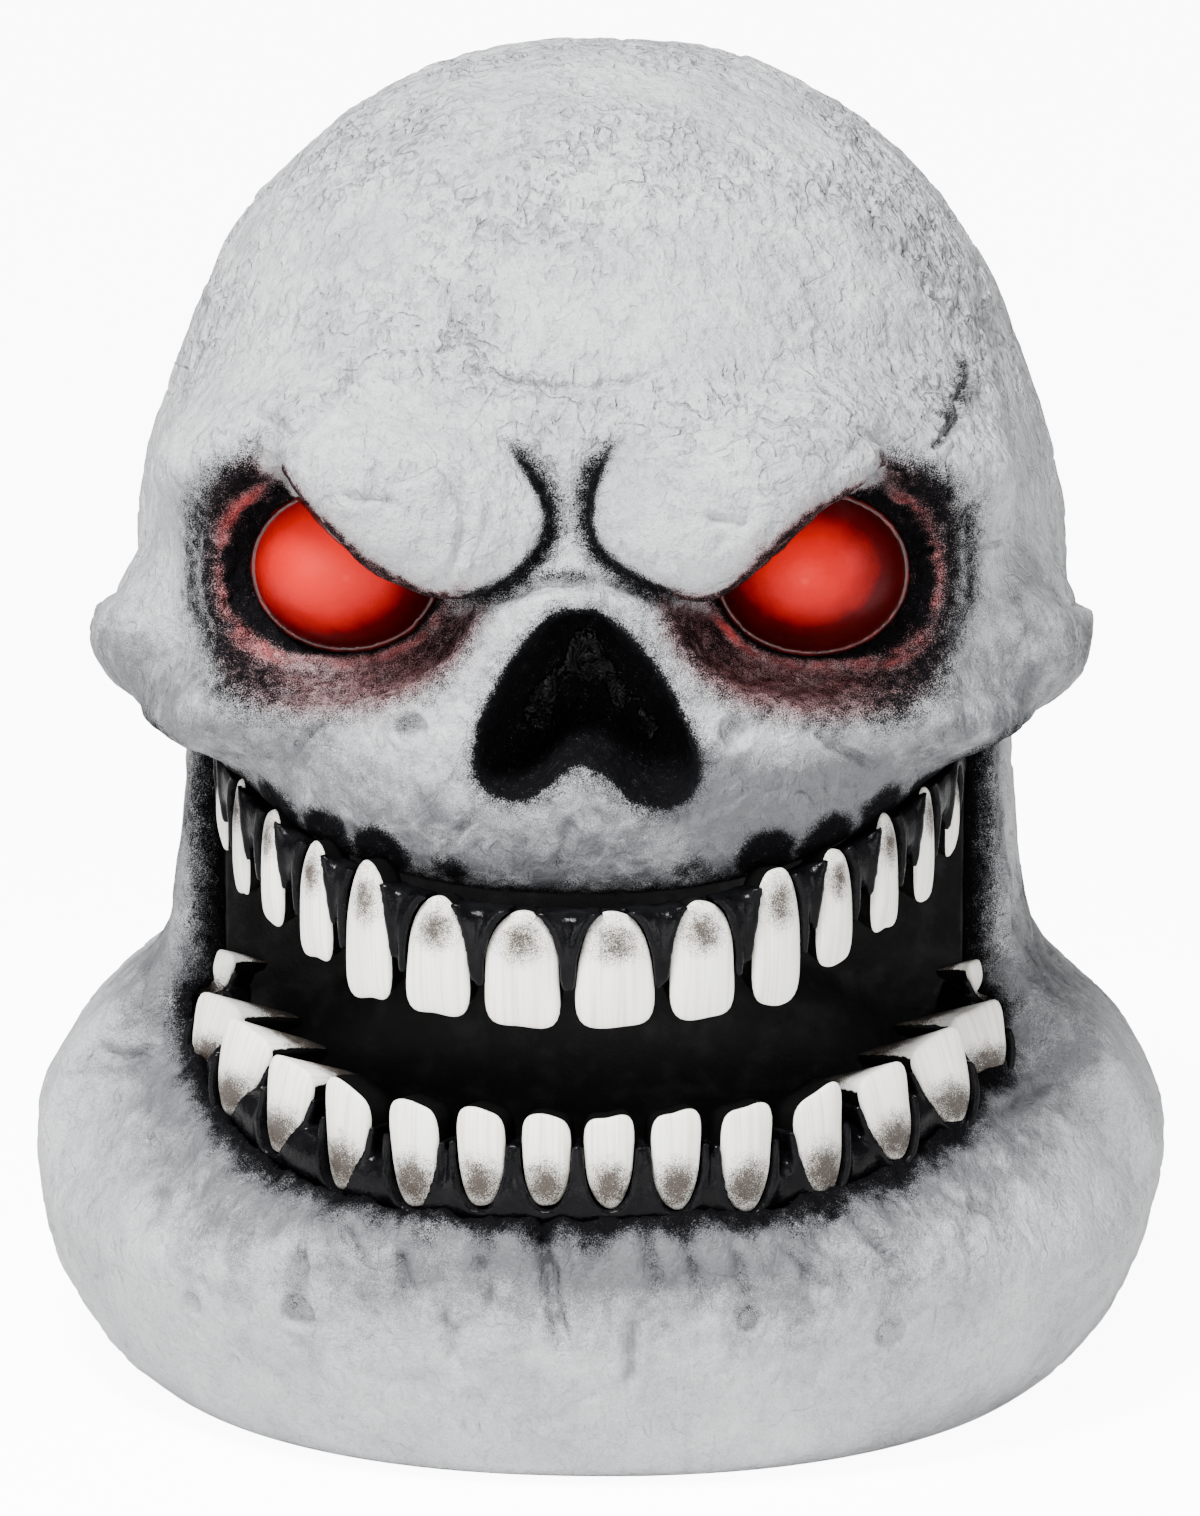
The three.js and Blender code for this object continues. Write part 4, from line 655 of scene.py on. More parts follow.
def bone_material():
    """Pale grey painted plastic with airbrushed soot and grime where the masks say, both carrying painted
    shade, shade painted into its wrinkles, and painted red lens light that glows a little.
    """
    made, t, shader = material("bone")
    where, wrinkle, glow = t.where(), t.value_of("wrinkle"), t.value_of("glow")
    soot, grime = sprayed_on(t, where, "soot"), sprayed_on(t, where, "grime", 0.7)
    tone = t.times(t.noise(where, 0.9, 1.0), 0.42, t.times(t.noise(where, 34, 3.0), 0.58))
    drawn = t.add("VectorMath", {0: where, 1: (1.0, 0.8, 0.55)}, operation="MULTIPLY").outputs[0]
    veins = t.times(crossing_lines(t, where, 26, 2.0, 0.2, 0.018),
                    t.between(t.noise(where, 30, 1.0), 0.42, 0.56))
    nicks = t.times(crossing_lines(t, drawn, 6.0, 1.5, 0.2, 0.08), t.between(t.noise(where, 9), 0.48, 0.58))
    leather = t.noise(drawn, 3.6, 2.5, 0.5, 0.2)
    lines = t.math("MAXIMUM", t.times(veins, 0.5), t.times(nicks, 0.62))
    # Painted shade: the vein and nick lines and the low spots of the leather grain are darkened in the colour
    # of wrinkled skin.
    recess_shade = t.math("MAXIMUM", t.times(t.between(leather, 0.5, 0.34), 0.5), lines)
    clean = t.tone(tone, 0.3, 0.72, (0.30, 0.306, 0.318, 1), (0.47, 0.476, 0.49, 1))
    plain = t.blend(t.times(recess_shade, wrinkle), clean, (0.07, 0.072, 0.078, 1))
    grimy_and_shaded = t.blend(t.times(grime, 0.84), plain, (0.05, 0.052, 0.057, 1))
    # Painted red lens light on the sockets, in the colour and as a weak glow below.
    lens_lit_colour = t.blend(glow, grimy_and_shaded, (0.3, 0.012, 0.008, 1))
    t.feed(shader["Base Color"], t.blend(soot, lens_lit_colour, (0.002, 0.002, 0.0025, 1)))
    t.feed(shader["Specular IOR Level"], t.times(soot, -0.24, 0.27))
    lit = t.times(glow, t.math("SUBTRACT", 1.0, soot))
    t.feed(shader["Emission Color"], t.blend(lit, (0, 0, 0, 1), (0.5, 0.008, 0.004, 1)))
    shader["Emission Strength"].default_value = 0.3
    t.feed(shader["Roughness"], t.times(soot, 0.34, t.times(t.noise(where, 6), 0.16, 0.38)))
    carved = t.times(veins, -0.4, t.times(nicks, -0.45, t.times(leather, 2.0)))
    peeled(t, shader, where, 0.8, t.bump(t.times(carved, wrinkle), 2.2))
    return made


def moulded_material(name, colours, mottle, gloss, peel, specular=0.5):
    """Plastic of two close colours.

    mottle gives their pattern: its size in mm, its detail, its low and its high level. gloss gives the
    roughness: the size in mm of its pattern, its range and its lowest value. peel is a depth in mm.
    """
    made, t, shader = material(name)
    where = t.where()
    size, detail, low, high = mottle
    t.feed(shader["Base Color"], t.tone(t.noise(where, size, detail), low, high, *colours))
    size, span, least = gloss
    t.feed(shader["Roughness"], t.times(t.noise(where, size), span, least))
    shader["Specular IOR Level"].default_value = specular
    peeled(t, shader, where, peel)
    return made


def plastic_material(name, low, high, roughness):
    """Plain moulded plastic for covers and fittings."""
    return moulded_material(name, (low, high), (5, 4.0, 0.35, 0.7), (2, 0.14, roughness - 0.07), 0.16)


def tooth_material():
    """Hand painted off-white with brush streaks, a sprayed dusty root, and black sides."""
    made, t, shader = material("tooth")
    where = t.where()
    lane = t.vector(t.value_of("across"), t.times(t.value_of("along"), 0.09), t.value_of("seed"))
    streak = t.texture(lane, 9.0, 4.0)
    ivory = t.tone(streak, 0.28, 0.6, (0.78, 0.72, 0.61, 1), (0.94, 0.93, 0.88, 1))
    dusty = t.blend(sprayed_on(t, where, "dust", 0.9), ivory, (0.036, 0.025, 0.018, 1))
    worn = t.times(t.math("SUBTRACT", t.noise(where, 2.4, 3.0), 0.5), 0.5, t.value_of("paint"))
    front = t.between(worn, 0.42, 0.58)
    t.feed(shader["Base Color"], t.blend(front, (0.003, 0.003, 0.003, 1), dusty))
    t.feed(shader["Specular IOR Level"], t.times(front, 0.4, 0.04))
    t.feed(shader["Roughness"], t.times(front, 0.14, 0.3))
    peeled(t, shader, where, 0.07, t.bump(streak, 0.12))
    return made


def lens_material():
    """Red plastic dome lit from behind: pale in the middle, deep red at its rim."""
    made, t, shader = material("eye_red")
    where = t.where()
    uneven = t.times(t.math("SUBTRACT", t.noise(where, 9, 3.0), 0.5), 0.16, t.value_of("hot"))
    ramp = t.add("ValToRGB", {"Fac": uneven})
    stops = ramp.color_ramp.elements
    stops[0].position, stops[0].color = 0.0, (0.006, 0.0, 0.0, 1)
    stops[1].position, stops[1].color = 1.0, (0.95, 0.028, 0.02, 1)
    for place, colour in ((0.14, (0.04, 0.0, 0.001, 1)), (0.28, (0.26, 0.002, 0.002, 1)),
                          (0.45, (0.56, 0.001, 0.001, 1)), (0.74, (0.82, 0.004, 0.003, 1))):
        stops.new(place).color = colour
    t.feed(shader["Base Color"], t.blend(0.6, ramp.outputs["Color"], (0.05, 0.0, 0.0, 1)))
    t.feed(shader["Emission Color"], ramp.outputs["Color"])
    shader["Emission Strength"].default_value = 0.85
    shader["Specular IOR Level"].default_value = 0.12
    t.feed(shader["Roughness"], t.times(t.noise(where, 2.5), 0.14, 0.34))
    peeled(t, shader, where, 0.14)
    return made


def crinkled_material(name):
    """Black gloss film with fine sharp crinkles."""
    made, t, shader = material(name)
    where = t.where()
    folds = t.math("ABSOLUTE", t.math("SUBTRACT", t.noise(where, 7, 4.0, 0.55, 0.8), 0.5))
    t.feed(shader["Base Color"], t.tone(folds, 0.0, 0.2, (0.001, 0.001, 0.001, 1), (0.004, 0.004, 0.004, 1)))
    t.feed(shader["Roughness"], t.times(t.noise(where, 3), 0.24, 0.16))
    shader["Specular IOR Level"].default_value = 0.16
    t.feed(shader["Normal"], t.bump(folds, 7.0))
    return made


def metal_material(name, low, high, roughness, metallic=1.0):
    """Turned or plated metal, with faint machining marks."""
    made, t, shader = material(name)
    marks = t.texture(t.where(), 900.0, 4.0)
    t.feed(shader["Base Color"], t.tone(marks, 0.35, 0.65, low, high))
    shader["Metallic"].default_value = metallic
    t.feed(shader["Roughness"], t.times(marks, 0.2, roughness - 0.1))
    t.feed(shader["Normal"], t.bump(marks, 0.03))
    return made


# Marks on the skin: picture points, half width and depth in mm, and how dark the mark is: paint with painted
# shade in it.
CRACKS = [
    ([(450, 360), (486, 374), (520, 383), (562, 388), (600, 388), (640, 380), (672, 366)], 1.3, 0.8, 0.1),
    ([(372, 330), (362, 348), (350, 370), (342, 388), (330, 410)], 1.2, 1.0, 0.25),
    ([(960, 335), (966, 352), (972, 375), (962, 390), (955, 400), (962, 412), (945, 435), (925, 455)],
     1.3, 1.6, 0.9),
    ([(905, 555), (935, 548), (960, 543), (985, 545), (1010, 540)], 0.9, 1.0, 0.6),
    ([(385, 668), (370, 690), (340, 712), (300, 742), (285, 765)], 1.2, 0.9, 0.35),
    ([(765, 690), (790, 715), (830, 745), (850, 752), (875, 768)], 1.2, 1.0, 0.4),
    ([(575, 790), (572, 812), (570, 830), (560, 850), (555, 872), (560, 900)], 1.6, 1.4, 0.6),
    ([(545, 1215), (540, 1240), (548, 1262), (551, 1295), (560, 1330), (562, 1352)], 2.2, 2.4, 0.9),
    ([(440, 858), (452, 842), (462, 828), (480, 812)], 1.2, 0.9, 0.3),
    ([(425, 830), (445, 838), (462, 828)], 1.0, 0.7, 0.3),
    ([(600, 775), (608, 800), (622, 812)], 1.2, 0.8, 0.3),
    ([(168, 1062), (190, 1052), (214, 1048)], 1.5, 1.2, 0.3),
    ([(100, 1048), (132, 1060), (165, 1046)], 2.0, 1.4, 0.1),
    ([(300, 1238), (306, 1262), (302, 1290)], 1.6, 1.2, 0.3),
    ([(632, 1318), (632, 1345), (630, 1384)], 2.0, 2.2, 0.4),
    ([(400, 1250), (405, 1272), (411, 1292)], 1.6, 1.4, 0.5),
    ([(441, 1306), (446, 1330), (453, 1364)], 1.4, 1.4, 0.35),
    ([(478, 1255), (484, 1282), (493, 1308)], 1.8, 1.5, 0.45),
    ([(640, 1225), (652, 1258), (660, 1296)], 2.0, 1.4, 0.45),
    ([(684, 1232), (698, 1282), (708, 1318)], 2.0, 1.5, 0.4),
    ([(732, 1245), (745, 1285), (752, 1300)], 1.8, 1.2, 0.35),
    ([(782, 1244), (804, 1268), (828, 1290)], 1.8, 1.3, 0.35),
    ([(860, 1225), (884, 1250), (905, 1268)], 1.8, 1.2, 0.25),
    ([(608, 1296), (609, 1312), (611, 1330)], 1.2, 1.0, 0.25),
    ([(340, 1222), (352, 1244), (366, 1262)], 1.8, 1.3, 0.45),
    ([(1000, 1115), (1020, 1100), (1048, 1082)], 1.8, 1.2, 0.2),
    ([(430, 462), (447, 480), (461, 497), (462, 520), (458, 545), (447, 566), (436, 577)], 1.5, 1.0, 0.1),
    ([(380, 440), (398, 452), (420, 455)], 1.3, 0.8, 0.08),
    ([(345, 490), (362, 500), (382, 497), (402, 508)], 1.4, 0.9, 0.08),
    ([(660, 470), (690, 478), (722, 470)], 1.4, 0.8, 0.06),
    ([(700, 510), (722, 522), (750, 518)], 1.4, 0.8, 0.06),
]
# Wider folds, without paint.
CREASES = [
    ([(500, 600), (520, 590), (560, 583), (600, 583), (640, 590), (670, 600)], 2.2, 1.8, 0.0),
    ([(292, 474), (292, 452), (302, 428), (322, 404), (345, 378), (366, 350)], 3.2, 1.5, 0.0),
    ([(248, 412), (272, 424), (292, 440)], 3.0, 1.2, 0.0),
    ([(905, 455), (880, 440), (850, 430)], 3.0, 0.9, 0.0),
]
# Round dents: picture point, radius and depth in mm.
DENTS = [((412, 730), 6.5, 1.5), ((735, 733), 6.0, 1.4), ((297, 1312), 7.0, 1.6), ((890, 1335), 6.5, 1.2),
         ((750, 1320), 6.0, 0.9), ((190, 1305), 5.0, 0.8), ((150, 1140), 3.0, 0.9)]
# The two brow lobes, which stand proud of the face like pillows.
BROW_OUTLINES = [
    [(488, 418), (512, 445), (532, 474), (547, 500), (551, 522), (543, 548), (524, 570), (498, 588),
     (462, 599), (424, 594), (384, 575), (348, 548), (316, 514), (292, 484), (280, 462), (300, 425),
     (350, 395), (420, 385)],
    [(606, 452), (594, 480), (588, 508), (590, 534), (603, 556), (630, 577), (668, 594), (704, 600),
     (738, 582), (770, 552), (800, 523), (832, 499), (872, 478), (890, 452), (850, 420), (780, 398),
     (700, 392), (640, 410)],
]
BROW_MIDDLE_X, BROW_FADE = 569, (405, 490)
BROW_LIFT, BROW_ROUND, BROW_GROOVE = 6.5, 15.0, 4.0
# The sunk temple behind the rim of the eye socket.
TEMPLE_OUTLINE = [(972, 300), (985, 330), (994, 367), (1001, 412), (1009, 464), (1018, 505), (1028, 543),
                  (1038, 576), (1056, 598), (1080, 610), (1130, 620), (1160, 500), (1120, 330), (1050, 280)]
TEMPLE_DEPTH = 5.0
# Sprayed shadows: picture points, reach in mm, strength.
SPRAYED = [
    ([(470, 612), (505, 592), (540, 580), (580, 578), (620, 584), (650, 592), (700, 604)], 4.5, 0.75),
    ([(950, 345), (968, 375), (958, 402), (940, 430)], 5.5, 0.7),
    ([(575, 795), (566, 840), (556, 872), (560, 905)], 4.5, 0.45),
    ([(215, 488), (196, 525), (190, 570), (200, 620), (232, 665)], 12.0, 0.72),
    ([(955, 495), (972, 540), (972, 590), (955, 630), (925, 662)], 11.0, 0.72),
]
# Broad stains: picture points, reach in mm, strength.
STAINS = [
    ([(690, 790), (740, 812), (800, 810), (860, 790)], 18, 1.35),
    ([(650, 835), (600, 862), (520, 870), (450, 860)], 11, 0.7),
    ([(300, 700), (330, 760), (380, 810)], 11, 0.6),
    ([(350, 800), (420, 840)], 10, 0.7),
    ([(500, 1232), (560, 1255), (660, 1250), (760, 1240)], 18, 1.15),
    ([(380, 1225), (310, 1190), (235, 1140), (180, 1090)], 13, 0.85),
    ([(840, 1215), (930, 1160), (1030, 1090), (1080, 1050)], 13, 0.85),
]
# The two skins that lines are drawn on, and between which heights.
HEAD_SKIN, JAW_SKIN = (head_field, 205, 500), (body_field, 0, 205)
LENS_POWER = 2.1
LENS_GLOW_SHIFT, LENS_GLOW_LOSS = {-1: 0.2, 1: -0.03}, {-1: 0.0, 1: 0.16}
TRAY_EDGE, TRAY_BACK_Y, TRAY_THICKNESS, TRAY_LOW_Z = 0.94, 32.8, 4.0, 60.0
MOST_TRIANGLES = 188000
GUM_BAND_UPPER, GUM_BAND_LOWER = (17.0, 18.0), (21.0, 18.0)


def lens_field(p, growth=0.0):
    return mass(mirrored(p), LENS_CENTRE, LENS_RADII, LENS_POWER, 0, growth)


def band_field(p, arch, inset, size, middle, shift=0.0):
    """A rounded band along an arch, as wide and high as size, with its middle at a height."""
    x, y, z = p.T
    a, b, centre = arch
    side = arch_field(x - shift, np.minimum(y, centre), (a - inset, b - inset, centre))
    u, v = np.abs(side) / (size[0] / 2), np.abs(z - middle) / (size[1] / 2)
    n = 3.0
    d = ((u ** n + v ** n) ** (1 / n) - 1) * size[0] / 2 * 0.8
    return np.maximum(d, y - centre - 2)


def upper_band(p):
    middle = gum_line(p[:, 0]) - GAP - GUM_BAND_UPPER[1] / 2
    return band_field(p, UPPER_ARCH, UPPER_THICKNESS / 2, GUM_BAND_UPPER, middle)


def lower_band(p):
    middle = rim_line(p[:, 1]) + 0.1 * GUM_BAND_LOWER[1]
    return band_field(p, LOWER_ARCH, LOWER_THICKNESS / 2, GUM_BAND_LOWER, middle)


def box_field(p, low, high):
    return np.maximum(np.asarray(low) - p, p - np.asarray(high)).max(1)


def face_field(p):
    d = np.maximum(head_field(p), p[:, 1] - (SEAM_Y - GAP / 2))
    return np.maximum(d, -lens_field(p, GAP))


def back_field(p):
    return np.maximum(head_field(p), SEAM_Y + GAP / 2 - p[:, 1])


def tray_region(p):
    x, y, _ = p.T
    a, b, centre = LOWER_ARCH
    side = arch_field(x, np.minimum(y, centre), (a * TRAY_EDGE, b * TRAY_EDGE, centre))
    return np.maximum(side, y - TRAY_BACK_Y)


PANEL_HALF_WIDTH, PANEL_LOW, PANEL_HIGH, PANEL_FLOOR_Y = 62.0, 38.0, 128.0, 184.0
POCKETS = [
    ((-PANEL_HALF_WIDTH - GAP, PANEL_FLOOR_Y - 3 - GAP, PANEL_LOW - GAP),
     (PANEL_HALF_WIDTH + GAP, 260, PANEL_HIGH + GAP)),
    ((-25, 163.4, 50), (25, 200, 110.8)),
    ((34.5, 172, 75), (51.5, 200, 85.4)),
]
PLATE_SCALE, PLATE_THICKNESS = 0.88, 3.0
# Where the head, the base plate and the rear panel can reach the lower body.
NECK_Z, FOOT_Z, REAR_Y = 170, 20, 130


def foot_recess(p):
    x, y, z = p.T
    half = JAW[0] * BODY_STATIONS[1, 1]
    reach = JAW[1] * np.where(y < 0, BODY_STATIONS[1, 2], BODY_STATIONS[1, 3])
    n = BODY_POWER
    share = ((np.abs(x) / half) ** n + (np.abs(y) / reach) ** n + 1e-12) ** (1 / n)
    return np.maximum((share - PLATE_SCALE) * half - GAP, z - PLATE_THICKNESS - GAP)


def clear_of_head(d, p):
    """Keeps a piece of the lower body clear of the head that stands on it."""
    high = p[:, 2] > NECK_Z
    d[high] = np.maximum(d[high], GAP - head_field(p[high]))
    return d


def jaw_field(p):
    body = body_field(p)
    d = np.maximum(body, -(lower_band(p) - GAP))
    lining = np.maximum(tray_region(p), TRAY_LOW_Z - p[:, 2]) - GAP / 2
    d = np.maximum(d, -np.maximum(lining, -(body + TRAY_THICKNESS + GAP)))
    d = clear_of_head(d, p)
    low = p[:, 2] < FOOT_Z
    d[low] = np.maximum(d[low], -foot_recess(p[low]))
    rear = p[:, 1] > REAR_Y
    for pocket in POCKETS:
        d[rear] = np.maximum(d[rear], -box_field(p[rear], *pocket))
    return d


def tray_field(p):
    body = body_field(p)
    sheet = np.maximum(body, -(body + TRAY_THICKNESS))
    d = np.maximum(np.maximum(sheet, tray_region(p) + GAP / 2), TRAY_LOW_Z + GAP / 2 - p[:, 2])
    return clear_of_head(np.maximum(d, -(lower_band(p) - GAP)), p)


# Relief of the moulded bone, in mm, outwards.
def wrinkling(p):
    """Where the skin is finely wrinkled, from 0 to 1."""
    _, y, z = p.T
    forehead = step(345, 395, z) * step(80, -50, y)
    patches = step(-0.5, 0.3, fractal(p, 60, 2, 5))
    return np.clip(0.34 + 0.66 * forehead * patches, 0, 1)


def relief(p):
    p = p.astype(np.float32)
    broad = 1.4 * fractal(p, 44, 2, 11) + 1.1 * fractal(p, 17, 3, 12)
    bent = p + 5 * np.stack([fractal(p, 22, 2, 20 + k) for k in range(3)], 1)
    veins = np.abs(fractal(bent * np.array([1, 1, 0.8], np.float32), 19, 3, 31))
    pits = fractal(bent, 6.5, 2, 41)
    lines = -1.9 * step(0.13, 0.0, veins) - 1.4 * step(0.22, 0.55, pits) + 0.8 * fractal(p, 7, 2, 42)
    return broad + (0.25 + 0.75 * wrinkling(p)) * lines


def brow_places(p):
    """Which points lie round each brow lobe, and how far inside its outline, in mm."""
    place = in_picture(p)
    for outline in BROW_OUTLINES:
        corners = np.array(outline)
        round_it = (place > corners.min(0) - 40).all(1) & (place < corners.max(0) + 40).all(1)
        which = np.nonzero(round_it & (p[:, 1] < -110))[0]
        yield which, place[which], inside_outline(place[which], outline) + 0.7 * fractal(p[which], 14, 2, 79)


def brow_lift(p):
    height = np.zeros(len(p))
    for which, place, inside in brow_places(p):
        t = np.clip(inside / BROW_ROUND, 0, 1)
        groove = fall(inside + 2.2, np.where(inside < -2.2, 5.5, 2.2))
        fade = step(BROW_FADE[0], BROW_FADE[1], place[:, 1])
        height[which] += fade * (BROW_LIFT * np.sqrt(t * (2 - t)) - BROW_GROOVE * groove)
    return height


def brow_paint(p):
    """The crisp spray in the groove round the inner ends of the lobes, and the soft painted shade along their
    edges.
    """
    soot, shade = np.zeros(len(p)), np.zeros(len(p))
    for which, place, inside in brow_places(p):
        spray = np.where(inside < 0, fall(np.abs(inside), 7.5, 1.2), fall(inside, 2.8))
        inner = step(150, 80, np.abs(place[:, 0] - BROW_MIDDLE_X)) * step(420, 470, place[:, 1])
        soot[which] = np.maximum(soot[which], inner * spray)
        soft = fall(np.abs(inside), np.where(inside < 0, 5.0, 7.0), 1.5)
        shade[which] = np.maximum(shade[which], 0.42 * step(395, 470, place[:, 1]) * soft)
    return soot, shade


def temple_recess(p):
    """How deep the temple lies behind the rim of the socket, the same on both sides."""
    q = mirrored(p)
    depth = np.zeros(len(p))
    which = np.nonzero((q[:, 0] > 120) & (p[:, 1] < 5) & (p[:, 2] > 280))[0]
    inside = inside_outline(in_picture(q[which]), TEMPLE_OUTLINE)
    depth[which] = step(0, 5, inside) * step(0, -40, p[which, 1]) * step(470, 400, p[which, 2])
    return TEMPLE_DEPTH * depth


def drawn_lines(p, skin, table, span, rounds=2):
    """For every line of a table that lies on a skin: the points within span times its first value, their
    distance from it, how far along it they are, and its values. A skin is a field and its heights."""
    field, low_z, high_z = skin
    for pixels, *values in table:
        path = smoothed(on_skin(field, pixels), rounds)
        if not low_z < path[:, 2].mean() < high_z:
            continue
        which = near(p, path, span * values[0])
        if len(which):
            yield (which, *line_distance(p[which], path), *values)


def tapered(along, slope, end):
    """Full strength in the middle of a line, and a share of it at its ends."""
    return np.minimum(1, slope * np.minimum(along, 1 - along) + end)


def marks(p, skin):
    """The height that cracks and dents add to points of a skin, and their darkness: paint with painted shade
    in the cracks, painted shade in the dents.
    """
    height, dark = np.zeros(len(p)), np.zeros(len(p))
    for which, distance, along, half_width, depth, darkness in drawn_lines(p, skin, CRACKS + CREASES, 9):
        distance = np.abs(distance + 0.9 * fractal(p[which], 5, 2, 77))
        fade = tapered(along, 5, 0.25)
        groove = fall(distance, half_width)
        lip = fall(distance - 2.4 * half_width, 1.2 * half_width)
        height[which] += fade * depth * 2.4 * (0.3 * lip - groove)
        # Paint with painted shade along the crack.
        paint = fade * darkness * fall(distance, 1.5 * half_width)
        dark[which] = np.maximum(dark[which], paint)
    field, low_z, high_z = skin
    for pixel, radius, depth in DENTS:
        centre = on_skin(field, [pixel])[0]
        which = near(p, centre[None], 2.2 * radius)
        if not low_z < centre[2] < high_z or not len(which):
            continue
        offset = p[which] - centre
        distance = np.linalg.norm(offset, axis=1) + 0.8 * fractal(p[which], 6, 2, 78)
        # Painted shade in the dent, darkest on its upper left inner wall, which faces away from the light.
        shaded = np.clip((offset[:, 2] - 0.7 * offset[:, 0]) / radius, -0.6, 1)
        lip = 0.25 * fall(distance - radius - 0.8, 1.6)
        height[which] += 2.6 * depth * (lip - step(radius + 0.4, radius - 2.4, distance))
        edge = fall(distance - radius + 1.4, 1.6) + 0.2 * step(radius, radius - 2, distance)
        dark[which] = np.maximum(dark[which], (0.2 + 0.22 * shaded) * edge)
    return height, dark


def sprayed(p, skin):
    dark = np.zeros(len(p))
    for which, distance, along, reach, strength in drawn_lines(p, skin, SPRAYED, 3):
        spray = strength * tapered(along, 6, 0.2) * fall(distance, reach, 1.5)
        dark[which] = np.maximum(dark[which], spray)
    return dark


def stained(p, skin, mottle):
    """Broad mottled stains along picture lines."""
    dark = np.zeros(len(p))
    for which, distance, _, reach, strength in drawn_lines(p, skin, STAINS, 2, 0):
        distance = np.maximum(distance + 5 * mottle[which], 0)
        stain = strength * fall(distance, reach) * (1 + 0.3 * mottle[which])
        dark[which] = np.maximum(dark[which], stain)
    return dark


# A flat side is a ring if its second edge has more points than this.
SHORTEST_RING = 40
# How near the bottom of a skin, in mm, no edge is merged, and how strongly that is kept to.
KEPT_AT_BOTTOM, THINNING_FACTOR = 9, 10.0


def without_flat(points, faces, axis, level, tolerance):
    """Takes out the inside of a flat closing face, and closes it again with one large face.

    A flat side that is a ring stays as it is.
    """
    flat = np.abs(points[:, axis] - level) < tolerance
    keep = ~flat[faces].all(1)
    kept = faces[keep]
    starts, ends = kept.reshape(-1), np.roll(kept, -1, axis=1).reshape(-1)
    forward = {(a, b) for a, b in zip(starts.tolist(), ends.tolist()) if flat[a] and flat[b]}
    following = {b: a for a, b in forward if (b, a) not in forward}
    loops = []
    while following:
        first, at = next(iter(following.items()))
        loop = [first]
        del following[first]
        while at != first and at in following:
            loop.append(at)
            at = following.pop(at)
        loops.append(loop)
    loops.sort(key=len)
    if len(loops) > 1 and len(loops[-2]) > SHORTEST_RING:
        return points, faces
    used = np.zeros(len(points), bool)
    used[kept.reshape(-1)] = True
    renumber = np.cumsum(used) - 1
    points = points.copy()
    points[loops[-1], axis] = level
    return points[used], list(renumber[kept]) + [renumber[np.array(loops[-1])]]


def thinned(points, faces, most):
    """Merges edges where the skin is plain, until no more than so many triangles are left."""
    count = sum(len(face) - 2 for face in faces)
    if count <= most:
        return points, faces
    mesh = bpy.data.meshes.new("thinning")
    mesh.from_pydata((points * MM).tolist(), [], [list(face) for face in faces])
    mesh.update()
    obj = linked("thinning", mesh)
    free = points[:, 2] > points[:, 2].min() + KEPT_AT_BOTTOM
    obj.vertex_groups.new(name="free").add(np.nonzero(free)[0].tolist(), 1.0, "REPLACE")
    fewer = obj.modifiers.new("fewer", "DECIMATE")
    fewer.ratio = most / count
    fewer.vertex_group = "free"
    fewer.vertex_group_factor = THINNING_FACTOR
    fewer.use_collapse_triangulate = True
    bpy.context.view_layer.update()
    done = bpy.data.meshes.new_from_object(obj.evaluated_get(bpy.context.evaluated_depsgraph_get()))
    places = np.empty(3 * len(done.vertices), np.float32)
    done.vertices.foreach_get("co", places)
    corners = np.empty(len(done.loops), np.int32)
    done.loops.foreach_get("vertex_index", corners)
    bpy.data.objects.remove(obj)
    bpy.data.meshes.remove(mesh)
    bpy.data.meshes.remove(done)
    return places.reshape(-1, 3).astype(float) / MM, corners.reshape(-1, 3)


def skin_piece(name, field, low, high, size, node, flat, shape, masks):
    """A moulded skin: net, settle, displace by shape(points), close its flat side, add its masks."""
    points, faces = net(field, low, high, size)
    points = settled(field, points, size * 0.5)
    normals = outward(points, faces)
    height = shape(points)
    moved = points + normals * height[:, None]
    axis, level, tolerance = flat
    on_flat = np.abs(points[:, axis] - level) < tolerance
    moved[on_flat, axis] = level
    moved, faces = without_flat(moved, faces, axis, level, tolerance)
    moved, faces = thinned(moved, faces, MOST_TRIANGLES)
    values = masks(moved)
    piece = mesh_object(name, moved, faces, BONE, (node,), "bone", values)
    on_flat = np.abs(moved[:, axis] - level) < 0.05
    smooth = [not on_flat[np.asarray(face)].all() for face in faces]
    piece.data.polygons.foreach_set("use_smooth", smooth)
    return piece


def head_shape(p):
    """The relief of the head's skin, outwards in mm. It ends at the lenses, the nose and the gum line."""
    lens_clear = step(0.5, 6, lens_field(p))
    nose_clear = step(-0.5, 5, nose_field(p))
    height, _ = marks(p, HEAD_SKIN)
    under = step(gum_line(p[:, 0]) + 0.5, gum_line(p[:, 0]) + 5, p[:, 2])
    socket = socket_field(p)
    rings = fall(socket - 1, 7) * fractal(p * np.array([0.6, 1, 1]), 5, 2, 91) * 1.4
    rough = relief(p) * (0.35 + 0.65 * lens_clear) * (0.3 + 0.7 * nose_clear)
    cheek_folds = 1.2 * fractal(p * np.array([1, 1, 0.4]), 11, 2, 92) * step(285, 250, p[:, 2])
    grown = rough + height + rings * lens_clear + cheek_folds * nose_clear
    return (grown + brow_lift(p) * lens_clear - temple_recess(p)) * under


